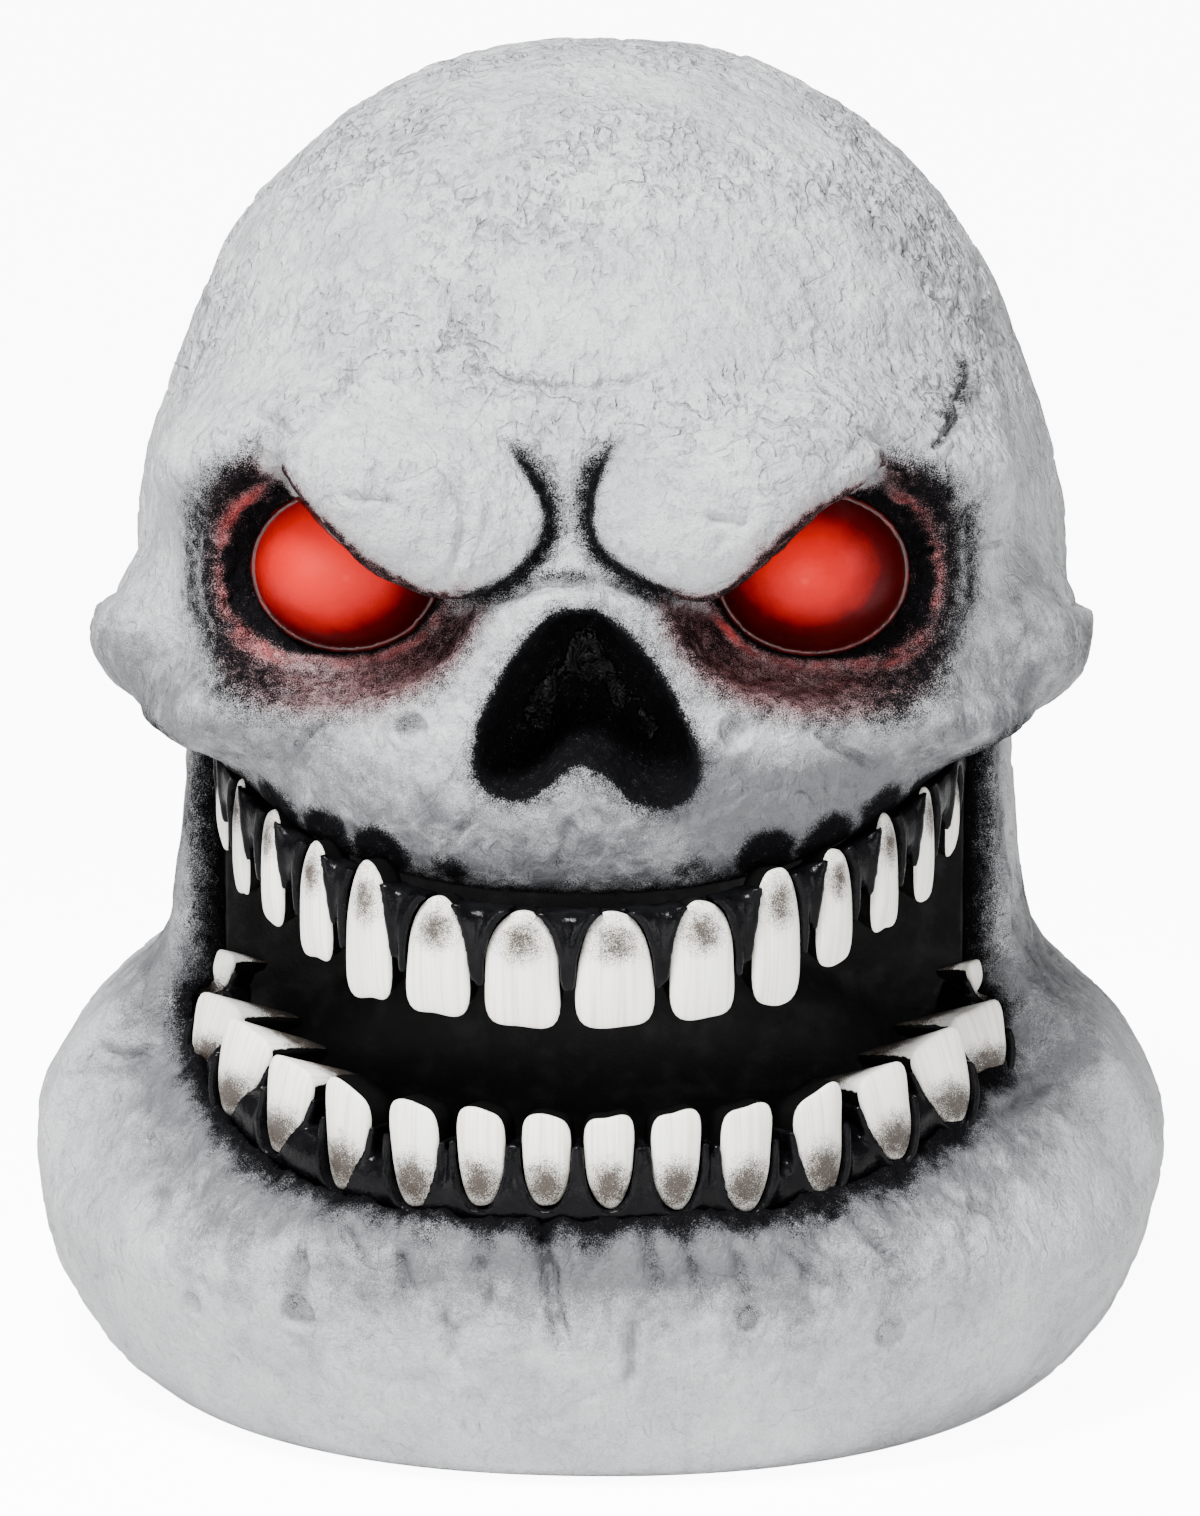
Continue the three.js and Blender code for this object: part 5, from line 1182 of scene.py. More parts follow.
def head_masks(p):
    """How much soot, grime, painted red lens light and fine wrinkling the head's skin shows, each from 0 to
    1. The soot and the grime also carry painted shade.
    """
    x, y, z = p.T
    socket, nose, lens = socket_field(p), nose_field(p), lens_field(p)
    blur = 1.8 * fractal(p, 11, 3, 51)
    mottle = fractal(p, 8, 3, 55)
    above_line = np.maximum(z - gum_line(x), 0)
    front = step(60, -20, y)
    _, cracks = marks(p, HEAD_SKIN)
    opening = eye_opening(p)
    lobe = step(0.8, 4.5, placed(mirrored(p), BROW) - brow_lift(p))
    lobe = np.maximum(lobe, step(1.6, 3.0, opening))
    outer = step(0, 1, (np.abs(x) - 84) / 46)
    low = step(300, 284, z) * (1 - 0.6 * outer)
    reach = 12 + 8 * outer + 4 * low
    ring = (0.76 + 0.24 * outer - 0.22 * low) * step(reach, -2.5, socket + 1.8 * blur) * lobe
    hole = np.maximum(step(4.2, 1.2, nose + 0.4 * blur), 0.75 * fall(np.maximum(nose, 0), 6, 1.4))
    gums = 0.99 * fall(above_line, 6.0 + 1.5 * blur, 1.5) * front
    # Painted red light from the lens: a band on the socket round each lens, wider on the outer side.
    band_middle, band_half = 5.5 + 9.5 * outer, 3.0 + 2.0 * outer
    inner = step(1.5 * band_half, 0.3 * band_half, np.abs(lens - band_middle + 0.7 * blur))
    inner = inner * step(4, -3, socket) * lobe
    # Painted shadow: a dark ring right round each lens, where the socket's wall lies in shade; it goes into
    # the soot.
    shadow = 0.97 * step(band_middle, band_middle - 4.5, lens) * lobe
    brow_spray, brow_shade = brow_paint(p)
    spray = np.maximum(sprayed(p, HEAD_SKIN), brow_spray)
    gums = np.maximum(gums, round_roots(p, UPPER_ROW, 9, 4.5) * front)
    rings = [ring * (1 - 0.75 * inner), shadow * (1 - 0.4 * inner)]
    soot = np.maximum.reduce(rings + [hole, gums, cracks, spray])
    below = step(88, 6, above_line + 4 * blur) * step(40, -60, y)
    halo = 0.62 * fall(np.maximum(socket, 0), 13, 1.4) * lobe
    grime = np.maximum(0.66 * below, halo) + 0.42 * mottle * np.maximum(below, 0.6 * halo)
    # Painted shade along the edges of the brow lobes, given with the grime.
    grime = np.maximum(grime, brow_shade)
    grime = np.maximum(grime, stained(p, HEAD_SKIN, mottle))
    grime = np.maximum(grime, 0.3 * step(0.0, 0.7, fractal(p, 36, 3, 53)))
    # Painted red lens light over the socket, strongest in the band; the bone also glows with it.
    glow = np.maximum(0.85 * inner, 0.4 * step(9, -4, socket) * lobe)
    return {"soot": soot, "grime": np.clip(grime, 0, 1), "glow": glow, "wrinkle": wrinkling(p)}


def round_roots(p, row, radius, fade):
    """Paint that runs out round the root of every tooth, from 1 on it to 0."""
    dark = np.zeros(len(p))
    for tooth in row:
        offset = p - tooth["foot"]
        distance = np.maximum(np.sqrt((offset ** 2).sum(1)) - radius, 0)
        dark = np.maximum(dark, fall(distance, np.maximum(fade, 2)))
    return dark


def jaw_shape(p):
    """The relief of the lower body's skin, outwards in mm, with drips on the chin."""
    _, y, z = p.T
    inside = step(-2, 8, tray_region(p))
    below = RIM + 14 - z
    streaks = fractal(p * np.array([1, 1, 0.26], np.float32), 12, 3, 61)
    chin = step(0, 14, below) * step(66, 30, below) * step(-60, -140, y)
    height, _ = marks(p, JAW_SKIN)
    grown = (relief(p) + 3.2 * streaks * chin) * (0.2 + 0.8 * inside) + height
    return grown * step(2, 14, z)


def jaw_masks(p):
    """The same as head_masks, for the lower body, which gets no painted lens light."""
    _, y, z = p.T
    streak = fractal(p * np.array([1, 1, 0.32], np.float32), 10, 3, 51)
    mottle = fractal(p, 8, 3, 55)
    band = lower_band(p)
    region = tray_region(p)
    _, cracks = marks(p, JAW_SKIN)
    near_gum = np.maximum(band, 0)
    lip = fall(near_gum, 8 + 6 * streak)
    lip = np.maximum(lip, round_roots(p, LOWER_ROW, 11, 7 + 3 * streak))
    beside = np.maximum(np.maximum(region, mouth_field(p)), 0)
    cheek = fall(beside, 14 + 5 * streak, 1.6) * step(rim_line(y) + 2, rim_line(y) + 16, z)
    soot = np.maximum.reduce([0.99 * lip, 0.98 * cheek, cracks])
    reach = np.minimum(near_gum, beside + 8)
    grime = 0.9 * fall(reach, 31 + 10 * streak, 1.9)
    grime = np.maximum(grime * (1 + 0.55 * mottle), stained(p, JAW_SKIN, mottle))
    grime = np.maximum(grime, 0.26 * step(0.0, 0.7, fractal(p, 36, 3, 53)))
    return {"soot": soot, "grime": np.clip(grime, 0, 1), "glow": np.zeros(len(p)),
            "wrinkle": 0.8 * wrinkling(p)}


# Teeth: each stands on its arch, square to it, named from the object's right to its left.
# Lower back teeth by rank: lobe depth as a share, turn to the front in degrees, slant of the top,
# skew of the root outwards, narrowing of the root.
BACK_TEETH = {3: (0.0, 0, 0.1, 0.4, 0.34), 4: (2.2, 10, 0.08, 0.62, 0.4), 5: (2.2, 25, 0.14, 0.66, 0.4),
              6: (2.1, 38, 0.12, 0.5, 0.34), 7: (0.6, 45, 0.02, 0.3, 0.3)}
FRONT_TOOTH = (0.0, 0, 0.02, 0.0, 0.2)


def tooth_row(table, arch, thickness, root, down, shift):
    a, b, middle = arch
    row = []
    for _, side in SIDES:
        for rank, (across, width, length, lift, lean) in enumerate(table):
            lobe, turn, slant, skew, narrow = FRONT_TOOTH if down else BACK_TEETH.get(rank, FRONT_TOOTH)
            x, y = side * across, -math.sqrt(1 - across ** 2)
            square = np.array([x / a, y / b, 0.0])
            square /= np.linalg.norm(square)
            on_arch = np.array([a * x + shift, middle + b * y, root + lift])
            facing = math.atan2(square[0], -square[1]) - side * math.radians(turn)
            out = np.array([math.sin(facing), -math.cos(facing), 0.0])
            row.append({"place": side * across, "foot": on_arch + square * (TOOTH_STAND_OUT - thickness / 2),
                        "out": out, "side": np.array([-out[1], out[0], 0.0]), "inward": -square,
                        "width": width, "length": length, "lean": lean, "thickness": thickness, "down": down,
                        "lobe": lobe, "slant": side * slant, "skew": side * skew, "narrow": narrow})
    return sorted(row, key=lambda tooth: tooth["place"])


UPPER_ROW = tooth_row(UPPER_TEETH, UPPER_ARCH, UPPER_THICKNESS, GUM_LINE, True, 0.0)
LOWER_ROW = tooth_row(LOWER_TEETH, LOWER_ARCH, LOWER_THICKNESS, RIM, False, LOWER_SHIFT)


def tooth_place(tooth, p):
    """A point in the tooth's own frame: across in mm, along from 0 at the root to 1, outwards in mm."""
    q = p - tooth["foot"]
    along = q[:, 2] * (-1 if tooth["down"] else 1) / tooth["length"]
    lean = tooth["lean"] * tooth["length"] * np.clip(along, 0, 1) ** 2
    skew = tooth["skew"] * tooth["width"] / 2 * np.clip(1 - along, 0, 1) ** 1.3
    return q @ tooth["side"] - skew, along, q @ tooth["out"] - lean


def narrowing(tooth, along):
    return 1 - tooth["narrow"] * np.clip(1 - along, 0, 1) ** 1.4


def outline_power(along):
    return 2.3 + 2.2 * step(0.35, 0.8, along)


def outline_distance(tooth, u, along):
    """Distance in mm from the tooth's outline, seen from the front."""
    a, b = tooth["width"] / 2 * narrowing(tooth, along), tooth["length"] / 2
    n = outline_power(along)
    qx, qy = np.abs(u) / a, np.abs(along - 0.5) * 2
    k0 = (qx ** n + qy ** n + 1e-9) ** (1 / n)
    k1 = k0 ** (1 - n) * np.hypot(qx ** (n - 1) / a, qy ** (n - 1) / b) + 1e-6
    return (k0 - 1) / k1


def closed_faces(sectors, rings):
    """Faces of a closed shape: a pole, so many rings of points, a second pole."""
    pairs = [(s, (s + 1) % sectors) for s in range(sectors)]
    last = 1 + (rings - 1) * sectors
    faces = [(0, 1 + b, 1 + a) for a, b in pairs]
    for start in range(1, last, sectors):
        faces += [(start + a, start + b, start + sectors + b, start + sectors + a) for a, b in pairs]
    return faces + [(last + a, last + b, last + sectors) for a, b in pairs]


# Rings of a tooth from the middle of its front to the middle of its back: share of the outline, and how far
# back, in mm up to the last side ring and after that as a share of the thickness.
TOOTH_RINGS = [(0.0, 0.0), (0.3, 0.0), (0.55, 0.0), (0.74, 0.0), (0.87, 0.0), (0.94, 0.0), (0.98, 0.25),
               (1.0, 0.8), (1.0, 1.3), (1.0, 3.5), (0.99, 7.0), (0.96, 0.92), (0.8, 1.0), (0.4, 1.02),
               (0.0, 1.02)]
TOOTH_SECTORS = 56
FRONT_RINGS, LAST_FRONT_RING, LAST_SIDE_RING = 8, 8, 10
TOOTH_BULGE, SIDE_START, BACK_START = 2.6, 3.0, 1.3
# The brown spot at the root, above and below: reach along, reach across, strength, and strength of the haze.
SPOTS = {True: (0.19, 0.62, 0.78, 0.3), False: (0.27, 0.9, 0.9, 0.42)}


def tooth_dust(tooth, u, v, share):
    """The sprayed dust on one ring of a tooth, a share of the way back."""
    along, across, strong, haze = SPOTS[tooth["down"]]
    spot = strong * np.exp(-(np.abs(v - 0.26) / along) ** 2.4
                           - (np.abs(u - 0.12 * tooth["skew"]) / across) ** 2.0)
    front = np.maximum(spot, haze * step(0.66, 0.2, v)) * (1 - share)
    return np.maximum(front, 0.8 * step(0.03, 0.55, share) * bool(tooth["lobe"]))


def tooth_piece(tooth, name):
    """One tooth: rings of points from the middle of its front over its sides to its back."""
    sectors = TOOTH_SECTORS
    lobed, down, thickness = bool(tooth["lobe"]), tooth["down"], tooth["thickness"]
    turn = np.arange(sectors) / sectors * 2 * math.pi
    cx, cz = np.cos(turn), np.sin(turn)
    seed = abs(tooth["place"]) * 7.3 + (3.1 if tooth["place"] > 0 else 0)
    wobble = 1 + 0.02 * np.sin(3 * turn + seed * 5) + 0.012 * np.sin(5 * turn + seed * 11)
    power = 2.3 + 2.2 * step(-0.3, 0.6, cz)
    reach = (np.abs(cx) ** power + np.abs(cz) ** power) ** (-1 / power) * wobble
    edge_v = 0.5 + 0.5 * reach * cz
    edge_u = reach * cx * narrowing(tooth, edge_v)
    full = thickness * (1 + 0.5 * tooth["lobe"])
    points, along, across, paint, dust = [], [], [], [], []
    for ring, (scale, back) in enumerate(TOOTH_RINGS):
        if ring > LAST_SIDE_RING:
            back *= full
        elif ring > LAST_FRONT_RING:
            back *= full / thickness
        count = 1 if scale == 0 else sectors
        u, v = edge_u[:count] * scale, 0.5 + (edge_v[:count] - 0.5) * scale
        if not down:
            v = v + tooth["slant"] * u * step(0.3, 1, v)
        share = min(max(back - BACK_START, 0) / max(full - BACK_START, 1), 1)
        level = v
        if lobed:
            level = v + (0.86 - v) * 0.8 * share ** 0.7 - 0.13 * share ** 1.5
            u = u * (1 - 0.45 * share ** 1.5)
        elif down:
            level = v - 0.12 * share * step(0.4, 1, v)
        bulge = TOOTH_BULGE * (1 - min(scale, 1) ** 2.4)
        sweep = max(back - SIDE_START, 0) if lobed else 0.0
        through = thickness / 2 - TOOTH_BULGE * 0.75 + bulge - back + sweep
        lean = tooth["lean"] * tooth["length"] * np.clip(level, 0, 1) ** 2 * (1 - share if lobed else 1)
        skew = tooth["skew"] * tooth["width"] / 2 * np.clip(1 - v, 0, 1) ** 1.3 * (1 - share)
        beside = u * tooth["width"] / 2 + skew
        height = tooth["length"] * level * (-1 if down else 1)
        points.append(tooth["foot"] + np.outer(beside, tooth["side"]) + sweep * tooth["inward"]
                      + np.outer(through + lean, tooth["out"]) + np.outer(height, [0, 0, 1]))
        along.append(v)
        across.append(u)
        paint.append(np.maximum(float(ring < FRONT_RINGS), step(0.72, 0.88, v) * float(lobed)))
        dust.append(tooth_dust(tooth, u, v, share))
    faces = closed_faces(sectors, len(TOOTH_RINGS) - 2)
    if np.dot(np.cross(tooth["side"], [0, 0, -1 if down else 1]), tooth["out"]) > 0:
        faces = [face[::-1] for face in faces]
    values = {"along": np.concatenate(along), "across": np.concatenate(across),
              "paint": np.concatenate(paint), "dust": np.clip(np.concatenate(dust), 0, 1),
              "seed": np.full(sum(map(len, along)), seed)}
    return mesh_object("painted_" + name, np.concatenate(points), faces, TOOTH, (name,), "tooth", values)


COLLAR_WIDTH, COLLAR_RADIUS, COLLAR_REACH = 1.7, 2.1, 0.66


def gum_field(p, band, row):
    """A band with a collar round every tooth of a row, and a socket for it."""
    d = band(p)
    for tooth in row:
        centre = tooth["foot"] + np.array([0, 0, tooth["length"] * (-0.3 if tooth["down"] else 0.3)])
        which = np.nonzero(np.abs(p - centre).max(1) < tooth["length"] * 0.6 + 14)[0]
        if not len(which):
            continue
        u, along, w = tooth_place(tooth, p[which])
        outline = outline_distance(tooth, u, along)
        face = tooth["thickness"] / 2 - 2.2
        taper = np.clip((along - 0.25) / (COLLAR_REACH - 0.25), 0, 1)
        radius = COLLAR_RADIUS * np.sqrt(1 - 0.86 * taper ** 2)
        tube = np.hypot(outline - COLLAR_WIDTH, 0.8 * (w - face)) - radius
        web = np.maximum(np.maximum(outline - COLLAR_WIDTH - 0.6, np.abs(w + 1) - face), 0.5 - outline)
        d_own = join(tube, web, 1.5)
        d_own = np.maximum(d_own, (along - COLLAR_REACH) * tooth["length"] * 0.8)
        d[which] = join(d[which], d_own, 2.5)
        deep = np.maximum(-(w + tooth["thickness"] / 2 + 0.6), -(along + 0.02) * 30)
        d[which] = np.maximum(d[which], -np.maximum(outline - 0.5, deep))
    return d


def upper_gum_field(p):
    d = gum_field(p, upper_band, UPPER_ROW)
    return np.maximum(d, p[:, 2] - gum_line(p[:, 0]) + GAP)


def lower_gum_field(p):
    return gum_field(p, lower_band, LOWER_ROW)


def field_piece(name, field, low, high, size, finish, node, slot, shape=None):
    """A piece that is the net of a field, with an optional relief."""
    points, faces = net(field, low, high, size)
    points = settled(field, points, size * 0.5)
    if shape is not None:
        points = points + outward(points, faces) * shape(points)[:, None]
    return mesh_object(name, points, faces, finish, (node,), slot)


# The eye lenses and the crinkled plug in the nose.
LENS_BACK_TURN, LENS_BACK_SHARES, LENS_BACK_SHARE = math.acos(-0.25), (0.97, 0.6, 0.2), 0.25


def lens_piece(label, side):
    """A domed lens with a closed flat back."""
    sectors, rows = ((112, 34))
    centre = LENS_CENTRE * np.array([side, 1, 1])
    half_x, half_y, half_z = LENS_RADII
    turn = np.arange(sectors) / sectors * 2 * math.pi
    points, hot = [centre + np.array([0, -half_y, 0])], [1.0]
    rings = [(math.sin(t), math.cos(t)) for t in np.linspace(0, LENS_BACK_TURN, rows + 1)[1:]]
    rings += [(rings[-1][0] * share, rings[-1][1]) for share in LENS_BACK_SHARES]
    for out, forward in rings:
        for angle in turn:
            x, z = math.cos(angle) * out, math.sin(angle) * out
            points.append(centre + np.array([x * half_x, -forward * half_y, z * half_z]))
            spread = math.hypot(x * 0.93 + LENS_GLOW_SHIFT[side], z - 0.1)
            hot.append(max(0.0, 1 - LENS_GLOW_LOSS[side] - spread * 1.1))
    points.append(centre + np.array([0, half_y * LENS_BACK_SHARE, 0]))
    hot.append(0.0)
    faces = [face[:1] + face[:0:-1] for face in closed_faces(sectors, len(rings))]
    return mesh_object("glowing_lens_" + label, np.array(points), faces, LENS, ("eye_lens_" + label,), "eye",
                       {"hot": hot})


def lens_rim(label, side):
    """A thin bead where the lens leaves its socket."""
    count = 160
    centre = LENS_CENTRE * np.array([side, 1, 1])
    half_x, half_y, half_z = LENS_RADII
    tilt = np.linspace(0.15, 1.5, 60)
    path = []
    for angle in np.arange(count) / count * 2 * math.pi:
        way = np.array([math.cos(angle) * half_x, 0, math.sin(angle) * half_z])
        line = centre + np.outer(np.sin(tilt), way) + np.outer(-np.cos(tilt) * half_y, [0, 1, 0])
        path.append(line[np.argmax(head_field(line.astype(np.float32)) < 0.6)])
    edges = [(k, (k + 1) % count) for k in range(count)]
    return grown_piece("lens_bead_" + label, BEADS, {}, path, edges, BEAD, "eye")


def turn_outward(piece):
    """Makes every face of a closed piece point outwards."""
    work = bmesh.new()
    work.from_mesh(piece.data)
    bmesh.ops.recalc_face_normals(work, faces=work.faces)
    work.to_mesh(piece.data)
    work.free()


def plug_field(p):
    """The cup behind the nose hole, with a folded lump on its front."""
    x, y, z = p.T
    fold = fractal(np.stack([x, 0.4 * y, z * 0.8], 1), 17, 2, 71)
    ridge = 1 - np.abs(fold) * 2.4
    lump = np.exp(-((x - 5) / 17) ** 2 - ((z - 271) / 17) ** 2)
    front = -165.5 - 8.5 * lump * (0.35 + 0.8 * ridge) - 1.6 * lump * fractal(p, 5.5, 2, 72)
    return np.maximum(np.maximum(nose_field(p) + 0.5, (front - y) * 0.6), y + 151)


# What repeats or follows a path is made by geometry groups with named sizes.
def geometry_group(name, inputs):
    inputs = [("Geometry", "Geometry", None)] + inputs + [("Finish", "Material", None)]
    return node_group(name, inputs, [("Geometry", "Geometry")], "GeometryNode")


def finish_group(t, geometry, given, out, smooth=True):
    """Ends a group: instances made real, shaded smooth, with their material."""
    real = t.shape("RealizeInstances", {"Geometry": geometry}, "Geometry")
    shaded = t.shape("SetShadeSmooth", {"Geometry": real, "Shade Smooth": smooth}, "Geometry")
    coated = t.shape("SetMaterial", {"Geometry": shaded, "Material": given["Finish"]}, "Geometry")
    t.feed(out["Geometry"], coated)


def screw_group():
    """A pan head screw with a cross recess, head down, on every given point."""
    group, t, given, out = geometry_group("pan_head_screws", [
        ("Head Radius", "Float", 0.004), ("Head Height", "Float", 0.0022), ("Shank Radius", "Float", 0.0015),
        ("Length", "Float", 0.007), ("Slot Width", "Float", 0.001), ("Slot Length", "Float", 0.0044)])
    radius, height, length = given["Head Radius"], given["Head Height"], given["Length"]
    dome = t.shape("MeshUVSphere", {"Segments": 40, "Rings": 20, "Radius": 1.0})
    head = t.moved(dome, Scale=t.vector(radius, radius, height), Translation=t.vector(z=height))
    lid = t.moved(t.shape("MeshCube", {"Size": (0.02, 0.02, 0.004)}),
                  Translation=t.vector(z=t.math("ADD", height, 0.002)))
    slot = t.shape("MeshCube", {"Size": t.vector(given["Slot Length"], given["Slot Width"], height)})
    for tool in (lid, slot, t.moved(slot, Rotation=(0, 0, math.pi / 2))):
        cutter = t.add("MeshBoolean", operation="DIFFERENCE", solver="EXACT")
        t.feed(cutter.inputs["Mesh 1"], head)
        t.feed(cutter.inputs["Mesh 2"], tool)
        head = cutter.outputs["Mesh"]
    middle = t.math("SUBTRACT", t.times(length, 0.5, t.times(height, 2.0)), height)
    shank = t.shape("MeshCylinder", {"Vertices": 24, "Radius": given["Shank Radius"], "Depth": length})
    whole = t.add("JoinGeometry")
    t.feed(whole.inputs["Geometry"], head)
    t.feed(whole.inputs["Geometry"], t.moved(shank, Translation=t.vector(z=middle)))
    finish_group(t, t.repeated(given["Geometry"], whole.outputs["Geometry"]), given, out, False)
    return group


def rib_group():
    """A row of rounded grip ribs, one above the other from every given point."""
    group, t, given, out = geometry_group("grip_ribs", [
        ("Count", "Int", 6), ("Pitch", "Float", 0.003), ("Length", "Float", 0.03),
        ("Width", "Float", 0.0014)])
    half = t.times(given["Width"], 0.5)
    bar = t.shape("MeshCylinder", {"Vertices": 16, "Radius": half, "Depth": given["Length"]})
    row = t.shape("MeshLine", {"Count": given["Count"], "Offset": t.vector(z=given["Pitch"])})
    ribs = t.repeated(row, t.moved(bar, Rotation=(0, math.pi / 2, 0)))
    finish_group(t, t.repeated(given["Geometry"], ribs), given, out)
    return group


def bead_group():
    """A round bead along a closed line of edges."""
    group, t, given, out = geometry_group("rim_bead", [("Radius", "Float", 0.0013), ("Sides", "Int", 10)])
    line = t.shape("MeshToCurve", {"Mesh": given["Geometry"]}, "Curve")
    ring = t.shape("CurvePrimitiveCircle", {"Resolution": given["Sides"], "Radius": given["Radius"]}, "Curve")
    finish_group(t, t.shape("CurveToMesh", {"Curve": line, "Profile Curve": ring}), given, out)
    return group


def grown_piece(name, group, values, points, edges, finish, slot, body="housing", nodes=()):
    """A plain mesh that a geometry group makes from points in mm."""
    mesh = bpy.data.meshes.new(name + "_base")
    mesh.from_pydata((np.asarray(points, float) * MM).tolist(), edges, [])
    base = linked(name + "_base", mesh)
    modifier = base.modifiers.new("grown", "NODES")
    modifier.node_group = group
    values = {"Finish": finish, **values}
    for item in group.interface.items_tree:
        if item.item_type == "SOCKET" and item.in_out == "INPUT" and item.name != "Geometry":
            modifier[item.identifier] = values.get(item.name, item.default_value)
    bpy.context.view_layer.update()
    done = bpy.data.meshes.new_from_object(base.evaluated_get(bpy.context.evaluated_depsgraph_get()))
    base.modifiers.remove(modifier)
    bpy.data.objects.remove(base)
    piece = linked(name, done)
    turn_outward(piece)
    return enrolled(piece, body, nodes, slot)


# Fittings: copies of the solids with their edges rounded. Faces over this area in m2 are shaded flat.
FLAT_AREA = 1e-4


def fitted(node, finish, slot, rounding, body):
    """A copy of a solid with its triangles merged into flat faces and its edges rounded."""
    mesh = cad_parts[node].data.copy()
    mesh.materials.clear()
    work = bmesh.new()
    work.from_mesh(mesh)
    bmesh.ops.remove_doubles(work, verts=work.verts, dist=1e-6)
    bmesh.ops.dissolve_limit(work, angle_limit=math.radians(1), verts=work.verts, edges=work.edges)
    sharp = [edge for edge in work.edges
             if len(edge.link_faces) == 2 and edge.calc_face_angle(0) > math.radians(40)]
    bmesh.ops.bevel(work, geom=sharp, offset=rounding * MM, segments=2, profile=0.5, affect="EDGES",
                    clamp_overlap=True)
    work.to_mesh(mesh)
    work.free()
    mesh.polygons.foreach_set("use_smooth", [face.area < FLAT_AREA for face in mesh.polygons])
    mesh.set_sharp_from_angle(angle=math.radians(45))
    mesh.materials.append(finish)
    return enrolled(linked("fitted_" + node, mesh), body, (node,), slot)


def repaint(node, finish):
    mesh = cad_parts[node].data
    mesh.materials.clear()
    mesh.materials.append(finish)


BONE, TOOTH, LENS = bone_material(), tooth_material(), lens_material()
NOSE_BLACK = crinkled_material("nose_black")
# Black gloss paint over the moulded gums, and the matt black inside of the mouth with a little dust.
GUM = moulded_material("gum", ((0.0015, 0.0015, 0.002, 1), (0.004, 0.004, 0.0045, 1)), (7, 2.0, 0.4, 0.7),
                       (3, 0.2, 0.1), 0.2, 0.075)
LINING = moulded_material("mouth_black", ((0.004, 0.004, 0.004, 1), (0.016, 0.016, 0.017, 1)),
                          (12, 4.0, 0.45, 0.75), (9, 0.3, 0.5), 0.3, 0.25)
BEAD = plastic_material("lens_edge", (0.03, 0.0, 0.0, 1), (0.09, 0.004, 0.003, 1), 0.3)
COVER = plastic_material("cover_grey", (0.36, 0.37, 0.38, 1), (0.46, 0.47, 0.49, 1), 0.5)
DARK = plastic_material("fitting_black", (0.012, 0.012, 0.013, 1), (0.03, 0.03, 0.032, 1), 0.45)
BOARD = plastic_material("board_green", (0.01, 0.07, 0.03, 1), (0.02, 0.12, 0.05, 1), 0.4)
WIRE = plastic_material("lead_red", (0.25, 0.01, 0.01, 1), (0.35, 0.02, 0.015, 1), 0.45)
STEEL = metal_material("screw_steel", (0.45, 0.45, 0.46, 1), (0.62, 0.62, 0.63, 1), 0.35)
CELL = metal_material("cell_jacket", (0.04, 0.05, 0.07, 1), (0.07, 0.08, 0.11, 1), 0.35, 0.4)
SCREWS, RIBS, BEADS = screw_group(), rib_group(), bead_group()


# Cell sizes of the nets in mm: of the face, of the gums and of the nose plug.
SKIN_CELL, GUM_CELL, PLUG_CELL = ((1.55, 1.15, 0.9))
FACE_EDGE, BACK_EDGE = SEAM_Y - GAP / 2, SEAM_Y + GAP / 2
# Moulded skins: field, box that it lies in, cell size, solid, flat side, relief, masks.
SKINS = [
    ("face_moulding", face_field, (-190, -212, 204), (190, 16, 504), SKIN_CELL, "face_shell",
     (1, FACE_EDGE, 0.4), head_shape, head_masks),
    ("back_moulding", back_field, (-180, 9, 204), (180, 194, 504), SKIN_CELL * 1.35, "back_shell",
     (1, BACK_EDGE, 0.4), head_shape, head_masks),
    ("jaw_moulding", jaw_field, (-222, -222, -4), (222, 212, 262), SKIN_CELL * 1.3, "jaw_shell",
     (2, 0.0, 0.12), jaw_shape, jaw_masks),
]
# Fittings: solid, finish, slot, rounding of its edges in mm, body.
FITTINGS = [
    ("base_plate", COVER, "cover", 0.8, "housing"),
    ("rear_panel", COVER, "cover", 0.8, "housing"),
    ("battery_door", COVER, "cover", 0.6, "battery_door"),
    ("door_screw", STEEL, "steel", 0.25, "battery_door"),
    ("switch_body", DARK, "cover", 0.4, "housing"),
    ("switch_slider", DARK, "cover", 0.4, "switch_slider"),
    ("battery_box", DARK, "cover", 0.3, "housing"),
]


def box_of(node):
    """The lowest and the highest corner of a solid, in mm."""
    return [np.array(corner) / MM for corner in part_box(node)]


def lining_relief(p):
    return 0.5 * fractal(p, 16, 3, 66)


def gum_relief(p):
    return 0.25 * fractal(p, 6, 2, 67)


def build():
    for skin in SKINS:
        skin_piece(*skin)
    field_piece("mouth_lining", tray_field, (-145, -192, 78), (145, 36, 252), SKIN_CELL * 1.2, LINING,
                "mouth_tray", "gum", lining_relief)
    field_piece("upper_gums", upper_gum_field, (-146, -218, 182), (146, -52, 252), GUM_CELL, GUM, "upper_gum",
                "gum", gum_relief)
    field_piece("lower_gums", lower_gum_field, (-158, -214, 88), (160, -50, 172), GUM_CELL, GUM, "lower_gum",
                "gum", gum_relief)
    for row, name in ((UPPER_ROW, "upper_tooth_"), (LOWER_ROW, "lower_tooth_")):
        for number, tooth in enumerate(row, 1):
            tooth_piece(tooth, f"{name}{number}")
    for label, side in SIDES:
        lens_piece(label, side)
        lens_rim(label, side)
        repaint("light_board_" + label, BOARD)
        repaint("light_lead_" + label, WIRE)
    field_piece("nose_plug", plug_field, (-40, -200, 228), (52, -148, 324), PLUG_CELL, NOSE_BLACK, "nose_cup",
                "gum")
    for fitting in FITTINGS:
        fitted(*fitting)
    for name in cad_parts:
        if name.startswith("battery_cell"):
            repaint(name, CELL)


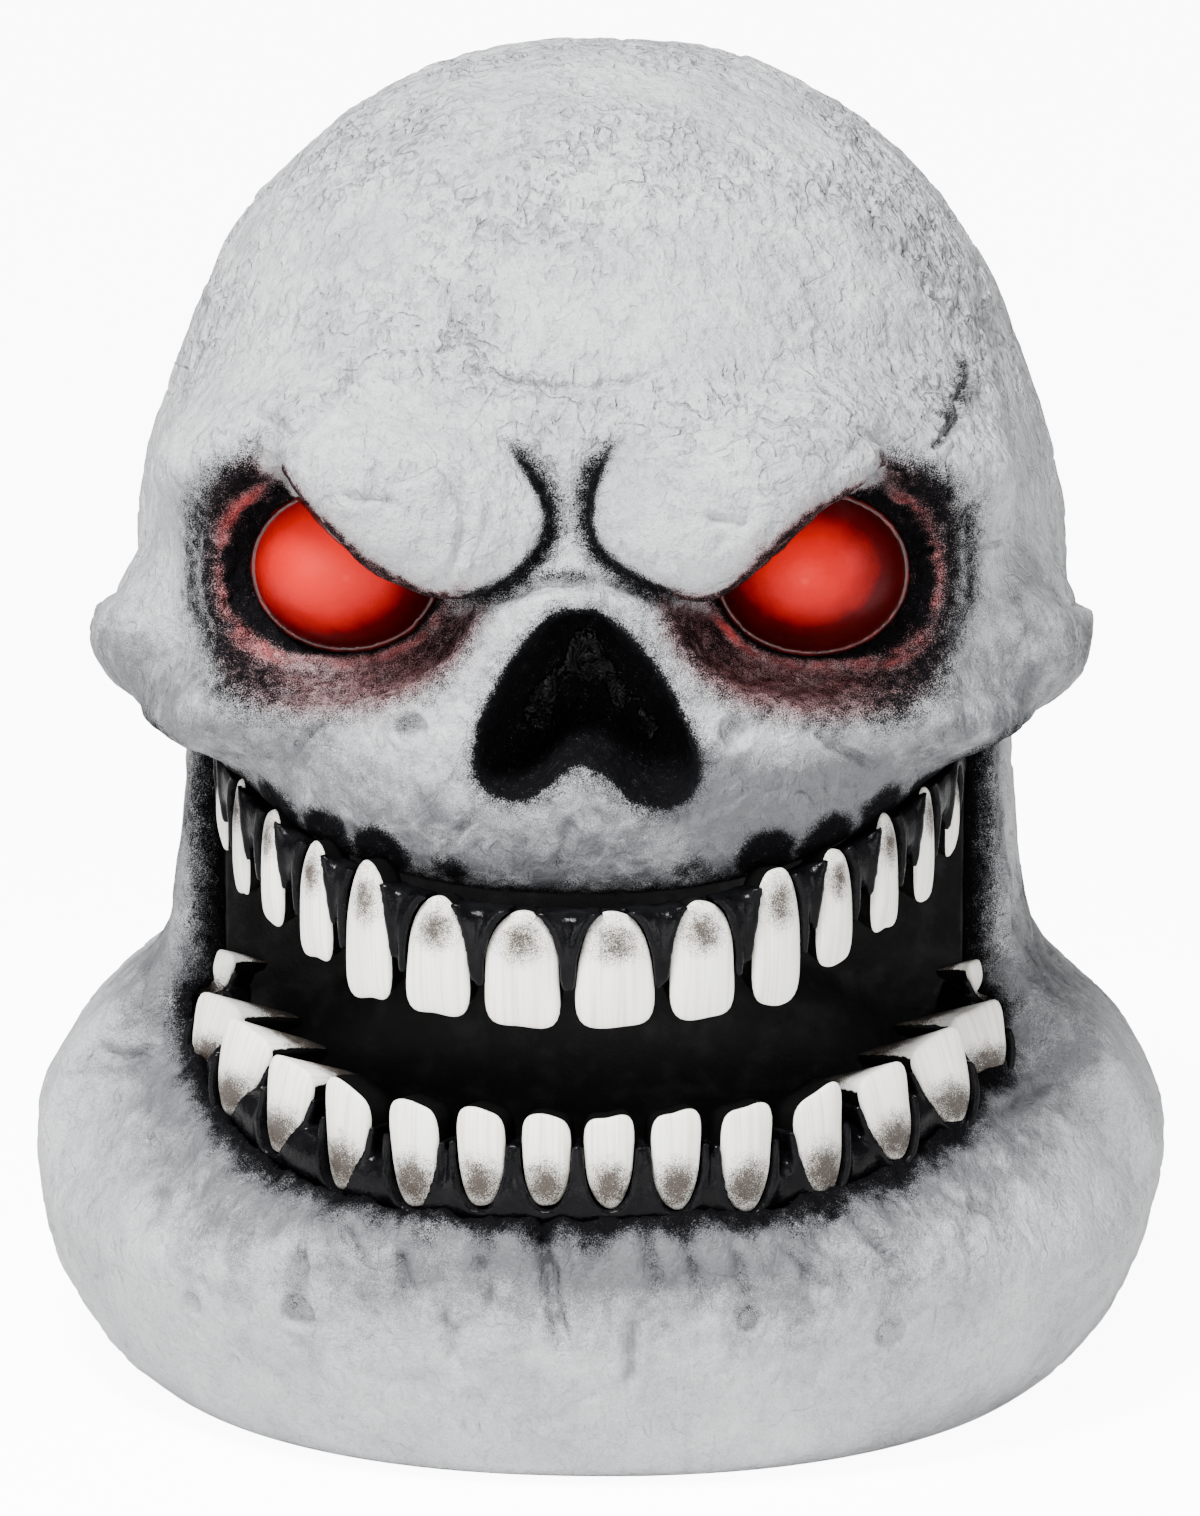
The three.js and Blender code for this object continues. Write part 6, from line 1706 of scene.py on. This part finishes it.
def small_parts():
    """Screw heads under the base plate, and the ribs on the battery door and on the switch."""
    screws = sorted(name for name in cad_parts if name.startswith("base_screw"))
    boxes = [box_of(name) for name in screws]
    heads = [(*((low + high) / 2)[:2], low[2]) for low, high in boxes]
    length = (boxes[0][1][2] - boxes[0][0][2] - 2.4) * MM
    grown_piece("base_plate_screws", SCREWS, {"Length": length}, heads, [], STEEL, "steel", nodes=screws)
    low, high = box_of("battery_door")
    grown_piece("door_grip_ribs", RIBS, {}, [(0, high[1] - 0.1, low[2] + 12)], [], COVER, "cover",
                "battery_door")
    low, high = box_of("switch_slider")
    middle = (low + high) / 2
    grown_piece("slider_grip_ribs", RIBS, {"Count": 3, "Pitch": 0.0014, "Length": 0.0036, "Width": 0.0007},
                [(middle[0], high[1], middle[2] - 1.4)], [], DARK, "cover", "switch_slider")


def floor_piece():
    """A pale sheet that the object stands on."""
    mesh = bpy.data.meshes.new("studio_floor")
    corners = [(-30, -30), (30, -30), (30, 30), (-30, 30)]
    mesh.from_pydata([(x, y, -0.0005) for x, y in corners], [], [(0, 1, 2, 3)])
    obj = linked("studio_floor", mesh)
    made, t, shader = material("floor_white")
    patch = t.noise(t.where(), 300)
    t.feed(shader["Base Color"], t.blend(patch, (0.86, 0.86, 0.86, 1), (0.9, 0.9, 0.9, 1)))
    shader["Roughness"].default_value = 0.9
    seen = t.add("LightPath").outputs["Is Camera Ray"]
    t.feed(shader["Emission Color"], t.blend(seen, (0, 0, 0, 1), (1, 1, 1, 1)))
    shader["Emission Strength"].default_value = 10.0
    mesh.materials.append(made)


def softbox(name, place, aim, size, power, colour=(1, 1, 1)):
    light = bpy.data.lights.new(name, "AREA")
    light.shape, light.size, light.size_y = "RECTANGLE", size[0], size[1]
    light.energy, light.color = power, colour
    obj = linked(name, light)
    obj.location = place
    obj.rotation_euler = (Vector(aim) - Vector(place)).to_track_quat("-Z", "Y").to_euler()


def studio():
    world = bpy.data.worlds.new("studio")
    bpy.context.scene.world = world
    world.use_nodes = True
    t = Tree(world.node_tree)
    background = world.node_tree.nodes["Background"].inputs
    background["Color"].default_value = (1, 1, 1, 1)
    seen = t.add("LightPath").outputs["Is Camera Ray"]
    t.feed(background["Strength"], t.times(seen, 12.0, 0.4))
    softbox("softbox_top", (-0.4, -1.0, 1.95), (0, 0, 0.3), (0.6, 0.5), 128)
    softbox("softbox_right", (1.7, -1.3, 0.8), (0, 0, 0.25), (0.7, 1.2), 20)
    softbox("softbox_left", (-1.6, -1.4, 0.7), (0, 0, 0.25), (0.7, 1.2), 22)
    softbox("softbox_low", (0.1, -2.6, 0.3), (0, 0, 0.12), (1.6, 0.8), 26)


def camera():
    data = bpy.data.cameras.new("camera")
    data.sensor_fit = "VERTICAL"
    data.sensor_height = 36
    data.lens = CAMERA_LENS
    data.clip_start, data.clip_end = 0.05, 50
    obj = linked("camera", data)
    axes = np.stack([RIGHTWARD, UPWARD, BACKWARD], 1)
    matrix = Matrix.Identity(4)
    for row in range(3):
        matrix[row][:3] = axes[row]
        matrix[row][3] = EYE[row] * MM
    obj.matrix_world = matrix
    bpy.context.scene.camera = obj


camera()
studio()
floor_piece()
build()
small_parts()
